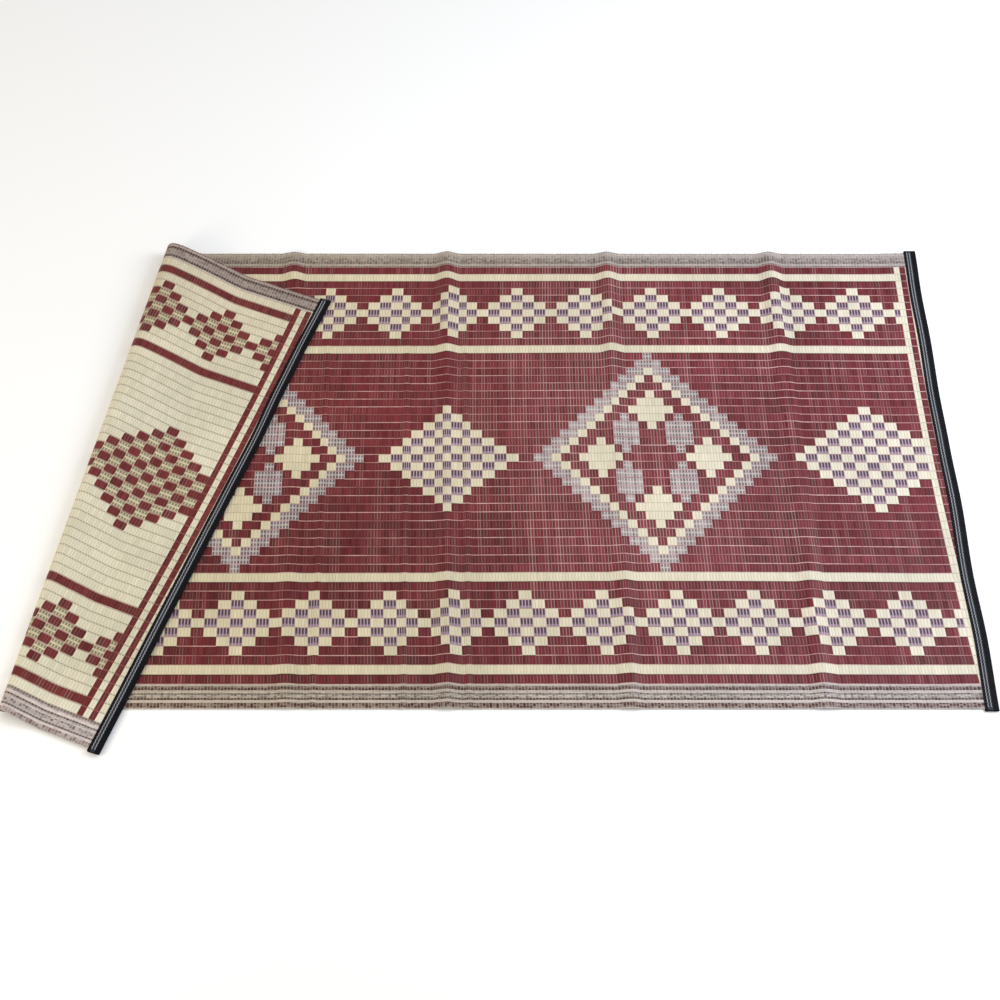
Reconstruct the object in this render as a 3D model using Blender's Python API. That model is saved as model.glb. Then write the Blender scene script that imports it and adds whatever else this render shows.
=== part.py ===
"""Reversible woven plastic mat, lying on a floor with its left end folded back over itself.

Metres, +Z up, origin under the middle of the mat. The face is up on the main part. The folded
end shows the reverse. A black tape binds each short end. The mat is laid out flat first: x runs
from the right end (0) to the left end (-LENGTH), y from the near long edge (0) to the far one.
The fold is a cone, so the flat cloth bends into it without stretching: its tip lies on the fold
line, out beyond the near edge, and every straight line through the tip stays straight.
"""
import math

import bmesh
import bpy
import numpy as np

# The cloth
LENGTH = 1.78
WIDTH = 1.0
THICKNESS = 0.002
HALF = THICKNESS / 2

# The end tapes: a strip folded round each end of the cloth
TAPE_WALL = 0.0008
TAPE_GAP = 0.0003
TAPE_LEG = 0.021
TAPE_OVERHANG = 0.004
TAPE_INNER = HALF + TAPE_GAP
TAPE_OUTER = TAPE_INNER + TAPE_WALL
NOSE_STEPS = 6

# The ends wander a little: how far each stands out past its straight line, at these rows
END_ROWS = (0.0, 0.12, 0.27, 0.4, 0.54, 0.65, 0.78, 0.89, 1.0)
RIGHT_WAVE = (0.0036, 0.0050, 0.0006, 0.0027, -0.0003, -0.0020, -0.0004, -0.0020, 0.0)
LEFT_WAVE = (0.0, 0.0005, 0.0006, 0.0012, 0.0018, 0.0028, -0.0006, -0.0013, 0.0)
WAVE_REACH = 0.15

# The right end is raised by the tape's lower leg
RAMP_START = 0.09
RAMP_END = 0.035

# The fold, as a section on a unit cone: lengths along it, per metre from the tip
TIP_X = -1.7087
TIP_Y = -0.75
LIFT_OFF = math.radians(10.77)
BEND = 0.0612
SLOPE = 0.0530
LANDING = 0.0290
SECTION_STEPS = 600
RULINGS = 22

# The folded end rests on the main part, a little apart from it
LAYER_GAP = 0.0016
FLAP_RISE = THICKNESS + LAYER_GAP
FLAP_COLUMNS = 4

# The folded end is pulled askew: its rows slide towards the near edge
SKEW = 0.0847
SKEW_START = 0.3227
SKEW_EASE = 0.1

# Storage creases, standing as low ridges from edge to edge, and pressed flat under the fold.
# Columns: x at the near edge, x at the far edge, then heights at the stations of RIDGE_ROWS.
RIDGE_ROWS = (0.0, 0.06, 0.25, 0.75, 0.93, 1.0)
CREASES = (
    # near     far     edge    border  field   field   border  edge
    (-0.270, -0.280, 0.0035, 0.0060, 0.0060, 0.0080, 0.0110, 0.0060),
    (-0.581, -0.588, 0.0030, 0.0045, 0.0045, 0.0080, 0.0095, 0.0060),
    (-0.874, -0.891, 0.0035, 0.0055, 0.0045, 0.0075, 0.0100, 0.0065),
    (-1.132, -1.181, 0.0020, 0.0030, 0.0025, 0.0025, 0.0095, 0.0050),
)
RIDGE_LEFT = 0.028
RIDGE_RIGHT = 0.026
RIDGE_PARTS = (-1.0, -0.62, -0.3, 0.0, 0.3, 0.62, 1.0)
CLEAR_START = 0.006
CLEAR_REACH = 0.04

# Stations from the near edge to the far edge
ROWS = (
    0.0, 0.03, 0.06, 0.12, 0.25, 0.4, 0.5, 0.58,
    0.64, 0.69, 0.75, 0.84, 0.89, 0.93, 0.965, 1.0,
)
PANEL_COLUMNS = 2
TAPE_STATIONS = 25


def ease(t):
    """Smooth step from 0 to 1."""
    t = np.clip(t, 0.0, 1.0)
    return t * t * (3.0 - 2.0 * t)


def section_curve(overturn):
    """Unit fold section: a bend past the half turn, a straight slope, then the landing.

    Returns the length along it, the way round the cone, the way up and the heading.
    """
    length = np.linspace(0.0, BEND + SLOPE + LANDING, SECTION_STEPS)
    bend = np.clip(length / BEND, 0.0, 1.0)
    landing = np.clip((length - BEND - SLOPE) / LANDING, 0.0, 1.0)
    turned = bend - np.sin(2 * math.pi * bend) / (2 * math.pi)
    settled = landing - np.sin(2 * math.pi * landing) / (2 * math.pi)
    heading = (math.pi + overturn) * turned - overturn * settled
    step = length[1] - length[0]
    way, rise = np.cos(heading), np.sin(heading)
    around = -np.concatenate(([0.0], np.cumsum((way[1:] + way[:-1]) / 2 * step)))
    up = np.concatenate(([0.0], np.cumsum((rise[1:] + rise[:-1]) / 2 * step)))
    return length, around, up, heading


def landed_section():
    """The section whose far end comes back down to the level where it started."""
    low, high = 0.05, 1.4
    for _ in range(40):
        middle = (low + high) / 2
        if section_curve(middle)[2][-1] > 0.0:
            low = middle
        else:
            high = middle
    return section_curve(low)


SECTION = landed_section()


def skew_slide(x):
    """How far a row has slid towards the near edge at this distance along the cloth."""
    along = np.maximum(SKEW_START - (x + LENGTH), 0.0)
    eased = np.where(along < SKEW_EASE, along**2 / (2 * SKEW_EASE), along - SKEW_EASE / 2)
    return SKEW * eased


def wave(row, stands):
    """How far an end stands out at a row: smooth steps between the values at END_ROWS."""
    row = np.clip(row, 0.0, 1.0)
    index = np.clip(np.searchsorted(END_ROWS, row, side="right") - 1, 0, len(END_ROWS) - 2)
    start, stop = np.take(END_ROWS, index), np.take(END_ROWS, index + 1)
    low, high = np.take(stands, index), np.take(stands, index + 1)
    return low + (high - low) * ease((row - start) / (stop - start))


def laid_out(x, row):
    """Flat position of a point of the cloth, with its wandering ends and its skewed left end."""
    right = wave(row, RIGHT_WAVE) * ease(1 + x / WAVE_REACH)
    left = wave(row, LEFT_WAVE) * ease(1 - (x + LENGTH) / WAVE_REACH)
    return x + right - left, WIDTH * row - skew_slide(x)


def folded(x, y):
    """Where the fold takes a flat point: a middle surface without its ridges, as x, y, z."""
    length, around, up, _ = SECTION
    reach = np.hypot(x - TIP_X, y - TIP_Y)
    angle = np.arctan2(x - TIP_X, y - TIP_Y)
    along = LIFT_OFF - angle
    past = np.maximum(along - length[-1], 0.0)
    turn = np.where(along < 0.0, -along, np.interp(along, length, around) + past)
    climb = np.where(along < 0.0, 0.0, np.interp(along, length, up))
    rise = FLAP_RISE * ease((along - BEND / 2) / (length[-1] - BEND / 2))
    final = LIFT_OFF + turn
    flat_reach = reach * np.cos(climb)
    return (
        TIP_X + flat_reach * np.sin(final),
        TIP_Y + flat_reach * np.cos(final),
        reach * np.sin(climb) + rise,
    )


def flap_corner(row):
    """Where the folded end's last point of a row lies."""
    x, y = laid_out(np.array(-LENGTH), np.array(row))
    return np.array([float(c) for c in folded(x, y)])


def clear_of_flap(x, y):
    """0 under the folded end, 1 well clear of it, over its tape side or its far side."""
    near, far = flap_corner(0.0), flap_corner(1.0)
    side = (far - near)[:2]
    side = side / np.hypot(*side)
    beyond_tape = (x - near[0]) * side[1] - (y - near[1]) * side[0]
    beyond_far = (x - far[0]) * side[0] + (y - far[1]) * side[1]
    distance = np.maximum(beyond_tape, beyond_far)
    return ease((distance - CLEAR_START) / CLEAR_REACH)


def ridge_height(x, y):
    """Height of the storage creases: raised cosines across, read from the table along."""
    total = np.zeros_like(x)
    for near, far, *heights in CREASES:
        offset = x - (near + (far - near) * y / WIDTH)
        span = np.where(offset < 0, RIDGE_LEFT, RIDGE_RIGHT)
        shape = 0.5 * (1 + np.cos(math.pi * np.clip(offset / span, -1.0, 1.0)))
        total = total + shape * np.interp(y / WIDTH, RIDGE_ROWS, heights)
    return total * clear_of_flap(x, y)


def column_lines():
    """Ends of each grid column on the near and the far edge, from the right end leftwards."""
    ramp_middle = (RAMP_START + RAMP_END) / 2
    columns = [(-place, -place) for place in (TAPE_OUTER, RAMP_END, ramp_middle, RAMP_START)]
    for near, far, *_ in CREASES:
        parts = [RIDGE_LEFT * p if p < 0 else RIDGE_RIGHT * p for p in RIDGE_PARTS]
        ridge = [(near + part, far + part) for part in reversed(parts)]
        columns += between(columns[-1], ridge[0], PANEL_COLUMNS)
        columns += ridge
    rulings = [ruling(angle) for angle in ruling_angles()]
    columns += between(columns[-1], rulings[0], PANEL_COLUMNS)
    columns += rulings
    left_end = (-LENGTH + TAPE_OUTER,) * 2
    columns += between(columns[-1], left_end, FLAP_COLUMNS)
    columns.append(left_end)
    return columns


def between(first, last, count):
    """Evenly spaced columns between two columns, without either of them."""
    share = [(i + 1) / (count + 1) for i in range(count)]
    return [tuple(a + (b - a) * s for a, b in zip(first, last)) for s in share]


def ruling_angles():
    """Directions from the cone's tip, spaced so that each turns the cloth by a like amount."""
    length, _, _, heading = SECTION
    turning = np.concatenate(([0.0], np.cumsum(np.abs(np.diff(heading)) + 1e-4)))
    stops = np.interp(np.linspace(0.0, turning[-1], RULINGS), turning, length)
    return [LIFT_OFF - stop for stop in stops]


def ruling(angle):
    """Ends on the near and far edges of the straight line through the cone's tip."""
    ends = []
    for y_edge in (0.0, WIDTH):
        x = TIP_X + (y_edge - TIP_Y) * math.tan(angle)
        x = TIP_X + (y_edge - float(skew_slide(x)) - TIP_Y) * math.tan(angle)
        ends.append(x)
    return tuple(ends)


def cloth_grid():
    """Middle surface of the whole cloth, as an array of columns by rows by x, y, z."""
    columns = np.array(column_lines())
    row = np.array(ROWS)[None, :]
    x_flat = columns[:, :1] + (columns[:, 1:] - columns[:, :1]) * row
    x, y = laid_out(x_flat, row + 0 * x_flat)
    ridge = ridge_height(x, y)
    ramp = (TAPE_OUTER - HALF) * ease((x_flat + RAMP_START) / (RAMP_START - RAMP_END))
    px, py, pz = folded(x, y)
    return np.stack([px, py, pz + HALF + ridge + ramp], axis=-1)


def principled(name, colour, roughness):
    """A plain material for the model's own views."""
    material = bpy.data.materials.new(name)
    material.use_nodes = True
    shader = material.node_tree.nodes["Principled BSDF"]
    shader.inputs["Base Color"].default_value = (*colour, 1.0)
    shader.inputs["Roughness"].default_value = roughness
    shader.inputs["Metallic"].default_value = 0.0
    return material


def add_object(name, mesh, material):
    """Puts a mesh in the scene as a named object with its material."""
    mesh.materials.append(material)
    obj = bpy.data.objects.new(name, mesh)
    bpy.context.scene.collection.objects.link(obj)
    return obj


def make_mat(shift, material):
    """The cloth: the middle surface, thickened on both sides by Solidify."""
    grid = cloth_grid()
    count, rows = grid.shape[:2]
    points = grid.reshape(-1, 3) + shift
    faces = [
        ((i + 1) * rows + j, i * rows + j, i * rows + j + 1, (i + 1) * rows + j + 1)
        for i in range(count - 1)
        for j in range(rows - 1)
    ]
    mesh = bpy.data.meshes.new("mat")
    mesh.from_pydata([tuple(p) for p in points], [], faces)
    mesh.shade_smooth()
    obj = add_object("mat", mesh, material)
    solidify = obj.modifiers.new("Thickness", "SOLIDIFY")
    solidify.thickness = THICKNESS
    solidify.offset = 0.0
    solidify.use_rim = True
    solidify.use_even_offset = False
    return obj


def tape_profile():
    """Section of a tape: the way in from its outer edge, and the height from the cloth's middle."""
    turns = [math.pi / 2 + math.pi * i / NOSE_STEPS for i in range(NOSE_STEPS + 1)]
    outer = [(TAPE_OUTER + TAPE_OUTER * math.cos(a), TAPE_OUTER * math.sin(a)) for a in turns]
    inner = [(TAPE_OUTER + TAPE_INNER * math.cos(a), TAPE_INNER * math.sin(a)) for a in reversed(turns)]
    upper = [(TAPE_LEG, TAPE_OUTER)]
    lower = [(TAPE_LEG, -TAPE_OUTER), (TAPE_LEG, -TAPE_INNER)]
    return upper + outer + lower + inner + [(TAPE_LEG, TAPE_INNER)]


def make_tape(name, places, inward, shift, material):
    """A tape's section carried along the end of the cloth. inward is a level unit vector."""
    profile = tape_profile()
    mesh_data = bmesh.new()
    rings = []
    for place in places:
        ring = [
            mesh_data.verts.new((
                place[0] + inward[0] * way + shift[0],
                place[1] + inward[1] * way + shift[1],
                place[2] + height + shift[2],
            ))
            for way, height in profile
        ]
        rings.append(ring)
    for first, second in zip(rings, rings[1:]):
        for k in range(len(profile)):
            after = (k + 1) % len(profile)
            mesh_data.faces.new((first[k], first[after], second[after], second[k]))
    mesh_data.faces.new(list(reversed(rings[0])))
    mesh_data.faces.new(rings[-1])
    bmesh.ops.recalc_face_normals(mesh_data, faces=mesh_data.faces)
    mesh = bpy.data.meshes.new(name)
    mesh_data.to_mesh(mesh)
    mesh_data.free()
    return add_object(name, mesh, material)


def tape_stations():
    """Distances across the mat at which a tape's section is placed, near to far."""
    return np.linspace(-TAPE_OVERHANG, WIDTH + TAPE_OVERHANG, TAPE_STATIONS)


def right_places():
    """Outer edge of the right tape, station by station, from near to far."""
    return [(float(wave(y / WIDTH, RIGHT_WAVE)), y, TAPE_OUTER) for y in tape_stations()]


def left_places():
    """Outer edge of the left tape, and the level direction in towards the cloth."""
    near, far = flap_corner(0.0), flap_corner(1.0)
    side = (far - near)[:2]
    side = side / np.hypot(*side)
    places = []
    for y in tape_stations():
        row = min(max(y / WIDTH, 0.0), 1.0)
        past = np.array([*side, 0.0]) * (y - WIDTH * row)
        places.append(flap_corner(row) + past + np.array([0.0, 0.0, HALF]))
    return places, (-side[1], side[0])


def middle_shift():
    """Moves the layout so that the origin is under the middle of the finished mat."""
    grid = cloth_grid().reshape(-1, 3)
    ends, _ = left_places()
    corners = np.vstack([grid, np.array(ends), np.array(right_places())])
    low, high = corners.min(axis=0), corners.max(axis=0)
    return np.array([-(low[0] + high[0]) / 2, -(low[1] + high[1]) / 2, 0.0])


def main():
    """Clears the scene and builds the mat and its two tapes."""
    for obj in list(bpy.data.objects):
        bpy.data.objects.remove(obj)
    shift = middle_shift()
    make_mat(shift, principled("woven straw", (0.26, 0.05, 0.06), 0.5))
    black = principled("black tape", (0.012, 0.012, 0.014), 0.6)
    make_tape("binding_right", right_places(), (-1.0, 0.0), shift, black)
    places, inward = left_places()
    make_tape("binding_left", places, inward, shift, black)


main()
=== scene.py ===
"""Looks of a reversible woven plastic mat, lying on a floor with its left end folded back.

The cloth is worked out straw by straw: where each straw runs, which of the two colours it shows
in each woven row, and how it rounds between the warp threads. All sizes are metres.
"""

import logging
import math
from collections.abc import Callable
from dataclasses import dataclass, field
from enum import IntEnum

import bpy
import numpy as np
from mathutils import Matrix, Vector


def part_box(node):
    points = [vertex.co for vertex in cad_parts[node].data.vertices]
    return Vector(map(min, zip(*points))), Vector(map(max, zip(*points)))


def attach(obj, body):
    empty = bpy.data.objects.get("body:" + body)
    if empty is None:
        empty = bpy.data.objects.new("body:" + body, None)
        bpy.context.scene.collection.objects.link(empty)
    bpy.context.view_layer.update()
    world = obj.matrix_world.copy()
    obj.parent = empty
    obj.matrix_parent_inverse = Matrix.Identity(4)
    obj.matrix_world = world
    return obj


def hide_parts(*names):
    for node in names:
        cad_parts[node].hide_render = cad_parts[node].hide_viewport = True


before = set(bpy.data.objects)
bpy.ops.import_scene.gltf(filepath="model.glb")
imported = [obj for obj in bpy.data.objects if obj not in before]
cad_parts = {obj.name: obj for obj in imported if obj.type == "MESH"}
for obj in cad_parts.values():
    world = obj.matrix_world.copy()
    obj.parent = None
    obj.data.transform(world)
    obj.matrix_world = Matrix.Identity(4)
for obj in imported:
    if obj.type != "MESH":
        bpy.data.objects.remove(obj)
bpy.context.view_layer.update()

BODY = "root"
UP = np.array([0.0, 0.0, 1.0])
LOG = logging.getLogger("mat")

Array = np.ndarray
Colour = tuple[float, float, float]
Pair = tuple[float, float]
Values = tuple[float, ...]
Material = bpy.types.Material
Mesh = bpy.types.Mesh
Node = bpy.types.Node
NodeTree = bpy.types.NodeTree
Object = bpy.types.Object


def ease(t: Array | float) -> Array:
    """Smooth step from 0 to 1: three t squared less two t cubed."""
    t = np.clip(t, 0.0, 1.0)
    return t * t * (3.0 - 2.0 * t)


def hump(distance: Array, reach: Array | float) -> Array:
    """Raised cosine: 1 at no distance, 0 from the reach on."""
    return 0.5 * (1.0 + np.cos(math.pi * np.clip(distance / reach, -1.0, 1.0)))


class Side(IntEnum):
    """The two sides of the cloth."""

    FACE = 0
    REVERSE = 1


class Kind(IntEnum):
    """What a woven cell shows on the face."""

    MAROON = 0
    CREAM = 1
    BARRED = 2
    MINGLED = 3
    BAND = 4


@dataclass(frozen=True)
class Crease:
    """A storage crease: a low ridge from the near edge to the far edge, with its heights."""

    near_x: float
    far_x: float
    heights: Values


@dataclass
class Lie:
    """How the cloth lies: its fold, its pulled-askew end, its wavy ends and its creases.

    The cloth is laid out flat first: x runs from the right end (0) to the left end (-length),
    and row from the near long edge (0) to the far one (1).
    """

    length: float = 1.78
    width: float = 1.0
    half: float = 0.001
    tape_outer: float = 0.0021
    end_rows: Values = (0.0, 0.12, 0.27, 0.4, 0.54, 0.65, 0.78, 0.89, 1.0)
    right_wave: Values = (
        0.0036, 0.0050, 0.0006, 0.0027, -0.0003, -0.0020, -0.0004, -0.0020, 0.0
    )
    left_wave: Values = (
        0.0, 0.0005, 0.0006, 0.0012, 0.0018, 0.0028, -0.0006, -0.0013, 0.0
    )
    wave_reach: float = 0.15
    ramp_start: float = 0.09
    ramp_end: float = 0.035
    tip_x: float = -1.7087
    tip_y: float = -0.75
    lift_off: float = math.radians(10.77)
    bend: float = 0.0612
    slope: float = 0.0530
    landing: float = 0.0290
    section_steps: int = 600
    overturn_range: Pair = (0.05, 1.4)
    overturn_halvings: int = 40
    flap_rise: float = 0.0036
    skew: float = 0.0847
    skew_start: float = 0.3227
    skew_ease: float = 0.1
    ridge_rows: Values = (0.0, 0.06, 0.25, 0.34, 0.66, 0.75, 0.93, 1.0)
    creases: tuple[Crease, ...] = (
        Crease(-0.270, -0.280, (0.0035, 0.0060, 0.0050, 0.0020, 0.0030, 0.0060, 0.0110, 0.0060)),
        Crease(-0.581, -0.588, (0.0030, 0.0045, 0.0045, 0.0012, 0.0020, 0.0070, 0.0095, 0.0060)),
        Crease(-0.874, -0.891, (0.0035, 0.0055, 0.0045, 0.0018, 0.0028, 0.0070, 0.0100, 0.0065)),
        Crease(-1.132, -1.181, (0.0020, 0.0030, 0.0025, 0.0020, 0.0020, 0.0025, 0.0095, 0.0050)),
    )
    ridge_left: float = 0.028
    ridge_right: float = 0.026
    tape_overhang: float = 0.004
    fit_stations: int = 25
    tape_stations: int = 201
    clear_start: float = 0.006
    clear_reach: float = 0.04
    section: tuple[Array, ...] = field(init=False)
    shift: Array = field(init=False)

    def __post_init__(self) -> None:
        """Finds the fold's section, and the move from the flat layout to the frame."""
        self.section = self.landed_section()
        low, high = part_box("binding_right")
        middle_y = (low[1] + high[1]) / 2
        stations = self.across(self.fit_stations)
        furthest = self.wave(stations / self.width, self.right_wave).max()
        self.shift = np.array([high[0] - furthest, middle_y - self.width / 2, 0.0])

    def across(self, count: int) -> Array:
        """Distances across the mat along an end's tape, which stands past both long edges."""
        return np.linspace(-self.tape_overhang, self.width + self.tape_overhang, count)

    def section_curve(self, overturn: float) -> tuple[Array, ...]:
        """The fold's section on a unit cone: a bend past the half turn, a slope, a landing.

        Args:
            overturn: how far past the half turn the bend goes, in radians.

        Returns:
            The length along it, the way round the cone and the way up. Both ways are the
            running sums of the heading's cosine and sine.
        """
        length = np.linspace(0.0, self.bend + self.slope + self.landing, self.section_steps)
        bend = np.clip(length / self.bend, 0.0, 1.0)
        landing = np.clip((length - self.bend - self.slope) / self.landing, 0.0, 1.0)
        turned = bend - np.sin(2 * math.pi * bend) / (2 * math.pi)
        settled = landing - np.sin(2 * math.pi * landing) / (2 * math.pi)
        heading = (math.pi + overturn) * turned - overturn * settled
        step = length[1] - length[0]
        way, rise = np.cos(heading), np.sin(heading)
        around = -np.concatenate(([0.0], np.cumsum((way[1:] + way[:-1]) / 2 * step)))
        up = np.concatenate(([0.0], np.cumsum((rise[1:] + rise[:-1]) / 2 * step)))
        return length, around, up

    def landed_section(self) -> tuple[Array, ...]:
        """The section whose far end comes back down to the level where it started.

        Returns:
            Its length, way round and way up, found by halving the range of overturns.
        """
        low, high = self.overturn_range
        for _ in range(self.overturn_halvings):
            middle = (low + high) / 2
            if self.section_curve(middle)[2][-1] > 0.0:
                low = middle
            else:
                high = middle
        return self.section_curve(low)

    def wave(self, row: Array, stands: Values) -> Array:
        """How far an end stands out: smooth steps from each of its stands to the next.

        Args:
            row: share of the width, from the near edge.
            stands: how far the end stands out at each of the end rows.

        Returns:
            The distance, for each row.
        """
        row = np.clip(row, 0.0, 1.0)
        index = np.searchsorted(self.end_rows, row, side="right") - 1
        index = np.clip(index, 0, len(self.end_rows) - 2)
        start, stop = np.take(self.end_rows, index), np.take(self.end_rows, index + 1)
        low, high = np.take(stands, index), np.take(stands, index + 1)
        return low + (high - low) * ease((row - start) / (stop - start))

    def stretch(self, x: Array, row: Array) -> Array:
        """How far a point of the cloth moves along it with the wavy ends, which fade inwards."""
        right = self.wave(row, self.right_wave) * ease(1 + x / self.wave_reach)
        left = self.wave(row, self.left_wave) * ease(1 - (x + self.length) / self.wave_reach)
        return right - left

    def laid_out(self, x: Array, row: Array) -> tuple[Array, Array]:
        """Flat place of a point of the cloth, with wavy ends and slid askew at the left.

        The slide starts as a parabola and goes on as a straight line.

        Args:
            x: distance along the cloth, 0 at the right end and negative leftwards.
            row: share of the width, from the near edge.

        Returns:
            The place along the mat and the place across it.
        """
        along = np.maximum(self.skew_start - (x + self.length), 0.0)
        early = along**2 / (2 * self.skew_ease)
        slid = self.skew * np.where(along < self.skew_ease, early, along - self.skew_ease / 2)
        return x + self.stretch(x, row), self.width * row - slid

    def folded(self, x: Array, y: Array) -> tuple[Array, ...]:
        """Where the fold takes a flat point.

        The distance from the cone's tip stays, and the angle round it is read as a length
        along the section, which gives the new angle and the climb.

        Args:
            x: the flat place along the mat.
            y: the flat place across it.

        Returns:
            The place along the mat, across it and up.
        """
        length, around, up = self.section
        reach = np.hypot(x - self.tip_x, y - self.tip_y)
        angle = np.arctan2(x - self.tip_x, y - self.tip_y)
        along = self.lift_off - angle
        past = np.maximum(along - length[-1], 0.0)
        turn = np.where(along < 0.0, -along, np.interp(along, length, around) + past)
        climb = np.where(along < 0.0, 0.0, np.interp(along, length, up))
        rise = self.flap_rise * ease((along - self.bend / 2) / (length[-1] - self.bend / 2))
        final = self.lift_off + turn
        flat = reach * np.cos(climb)
        place_x = self.tip_x + flat * np.sin(final)
        place_y = self.tip_y + flat * np.cos(final)
        return place_x, place_y, reach * np.sin(climb) + rise

    def flap_corner(self, row: float) -> Array:
        """Where a corner of the folded end lies, in the flat layout's axes."""
        x, y = self.laid_out(np.array(-self.length), np.array(row))
        return np.array([float(c) for c in self.folded(x, y)])

    def flap_side(self) -> Array:
        """Level unit vector along the folded end, from its near corner to its far one."""
        side = (self.flap_corner(1.0) - self.flap_corner(0.0))[:2]
        return side / np.hypot(*side)

    def clear_of_flap(self, x: Array, y: Array) -> Array:
        """Where the cloth is clear of the folded end that lies on it.

        Args:
            x: the flat place along the mat.
            y: the flat place across it.

        Returns:
            0 under the folded end, 1 well clear of it.
        """
        near, far, side = self.flap_corner(0.0), self.flap_corner(1.0), self.flap_side()
        beyond_tape = (x - near[0]) * side[1] - (y - near[1]) * side[0]
        beyond_far = (x - far[0]) * side[0] + (y - far[1]) * side[1]
        distance = np.maximum(beyond_tape, beyond_far)
        return ease((distance - self.clear_start) / self.clear_reach)

    def ridge_height(self, x: Array, y: Array) -> Array:
        """Height of the storage creases: raised cosines, with heights read along each.

        Args:
            x: the flat place along the mat.
            y: the flat place across it.

        Returns:
            The height at each place.
        """
        total = np.zeros_like(x)
        for crease in self.creases:
            offset = x - (crease.near_x + (crease.far_x - crease.near_x) * y / self.width)
            shape = hump(offset, np.where(offset < 0, self.ridge_left, self.ridge_right))
            total = total + shape * np.interp(y / self.width, self.ridge_rows, crease.heights)
        return total

    def middle(self, x: Array, row: Array, extra: Array) -> Array:
        """Middle surface of the cloth in the frame.

        Args:
            x: distance along the cloth, 0 at the right end and negative leftwards.
            row: share of the width, from the near edge.
            extra: height of the small pleats, which the flap presses flat as it does the ridges.

        Returns:
            An array of points, with x, y, z last.
        """
        flat_x, flat_y = self.laid_out(x, row)
        ridge = (self.ridge_height(flat_x, flat_y) + extra) * self.clear_of_flap(flat_x, flat_y)
        lift = self.tape_outer - self.half
        ramp = lift * ease((x + self.ramp_start) / (self.ramp_start - self.ramp_end))
        px, py, pz = self.folded(flat_x, flat_y)
        return np.stack([px, py, pz + self.half + ridge + ramp], axis=-1) + self.shift

    def right_end(self) -> Array:
        """Outer edge of the right tape, from near to far."""
        y = self.across(self.tape_stations)
        out = self.wave(y / self.width, self.right_wave)
        return np.stack([out, y, np.full(y.size, self.tape_outer)], axis=-1) + self.shift

    def left_end(self) -> Array:
        """Outer edge of the left tape on the folded end.

        Returns:
            Points from near to far, which go straight on past the cloth's corners.
        """
        y = self.across(self.tape_stations)
        row = np.clip(y / self.width, 0.0, 1.0)
        corners = np.stack([self.flap_corner(float(share)) for share in row])
        past = (y - self.width * row)[:, None] * np.array([*self.flap_side(), 0.0])
        return corners + past + UP * self.half + self.shift


@dataclass(frozen=True)
class Take:
    """A line across the mat where the cloth is drawn up into a small pleat."""

    place: float
    extra: float
    reach: float
    height: float


@dataclass(frozen=True)
class StrawRun:
    """Where each straw runs: straw number as a smooth function of the place on the cloth."""

    pitch: float = 0.00531
    first: float = 0.746
    span: float = 1.61
    bow_right: float = 0.0417
    bow_left: float = 0.0400
    bow_row_right: float = 0.827
    bow_row_left: float = 0.580
    slant: float = -0.0205
    fan: float = 0.0046
    lean: float = 0.0019
    tuck: float = 1.1
    tuck_row: float = 0.5
    tuck_fade: float = 0.2
    tuck_reach: float = 0.045
    pleat_reach: float = 0.009
    pleat_stop: float = 0.7
    pleat_fade: float = 0.12
    table_margin: float = 0.05
    table_size: int = 8000
    drift_places: Values = (-1.15, -0.9, -0.65, -0.4, -0.2, 0.0)
    drifts: Values = (0.0, 0.0008, 0.0034, 0.0033, 0.0012, -0.0015)
    takes: tuple[Take, ...] = (
        Take(-0.262, 0.0042, 0.011, 0.0008),
        Take(-0.585, 0.0039, 0.011, 0.0008),
        Take(-0.849, 0.0088, 0.011, 0.0016),
        Take(-0.884, 0.0071, 0.011, 0.0010),
        Take(-0.898, 0.0078, 0.011, 0.0006),
        Take(-0.955, 0.0075, 0.011, 0.0014),
        Take(-1.10, 0.0036, 0.011, 0.0016),
        Take(-1.68, -0.0061, 0.05, 0.0),
    )

    def number(self, x: Array, row: Array | float) -> Array:
        """Straw number at a place.

        The run along the mat, plus a parabola across it for the straws' bow, plus a small
        lean that grows along it, plus a smooth step for each pleat, over the straws' pitch.

        Args:
            x: distance along the cloth, 0 at the right end and negative leftwards.
            row: share of the width, from the near edge.

        Returns:
            The number, whole in each valley.
        """
        share = -x / self.span
        bow = self.bow_right + (self.bow_left - self.bow_right) * share**2
        centre = self.bow_row_right + (self.bow_row_left - self.bow_row_right) * share
        run = -x + bow * ((row - centre) ** 2 - (0.5 - centre) ** 2)
        run = run + (self.fan * x + self.lean) * (row - 0.5)
        for take in self.takes:
            place = take.place + self.slant * (row - 0.5)
            run = run + take.extra * ease(0.5 - (x - place) / (2 * take.reach))
        tucked = ease((self.tuck_row - row) / self.tuck_fade) * ease(1 + x / self.tuck_reach)
        return run / self.pitch + self.first + self.tuck * tucked

    def places(self, numbers: Array, row: float, length: float) -> Array:
        """Places of the given straw numbers in one row, read back from a fine table."""
        x = np.linspace(self.table_margin, -length - self.table_margin, self.table_size)
        return np.interp(numbers, self.number(x, row), x)

    def pleats(self, x: Array, row: Array) -> Array:
        """Height of the small pleats that run along the takes and end before the far border.

        Args:
            x: distance along the cloth.
            row: share of the width, from the near edge.

        Returns:
            The sum of the pleats' raised cosines.
        """
        total = np.zeros_like(x)
        for take in self.takes:
            place = take.place + self.slant * (row - 0.5)
            total = total + take.height * hump(x - place, self.pleat_reach)
        return total * (1.0 - ease((row - self.pleat_stop) / self.pleat_fade))

    def row_drift(self, x: Array, row: Array) -> Array:
        """How far the rows swell towards the far edge: half a sine wave across the mat."""
        return np.interp(x, self.drift_places, self.drifts) * np.sin(math.pi * row)


@dataclass(frozen=True)
class BandLine:
    """One line of an edge band: its width, how pale each side is, its dashes and its warmth."""

    width: float
    pale: float
    back: float
    dashed: float
    warm: float


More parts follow.
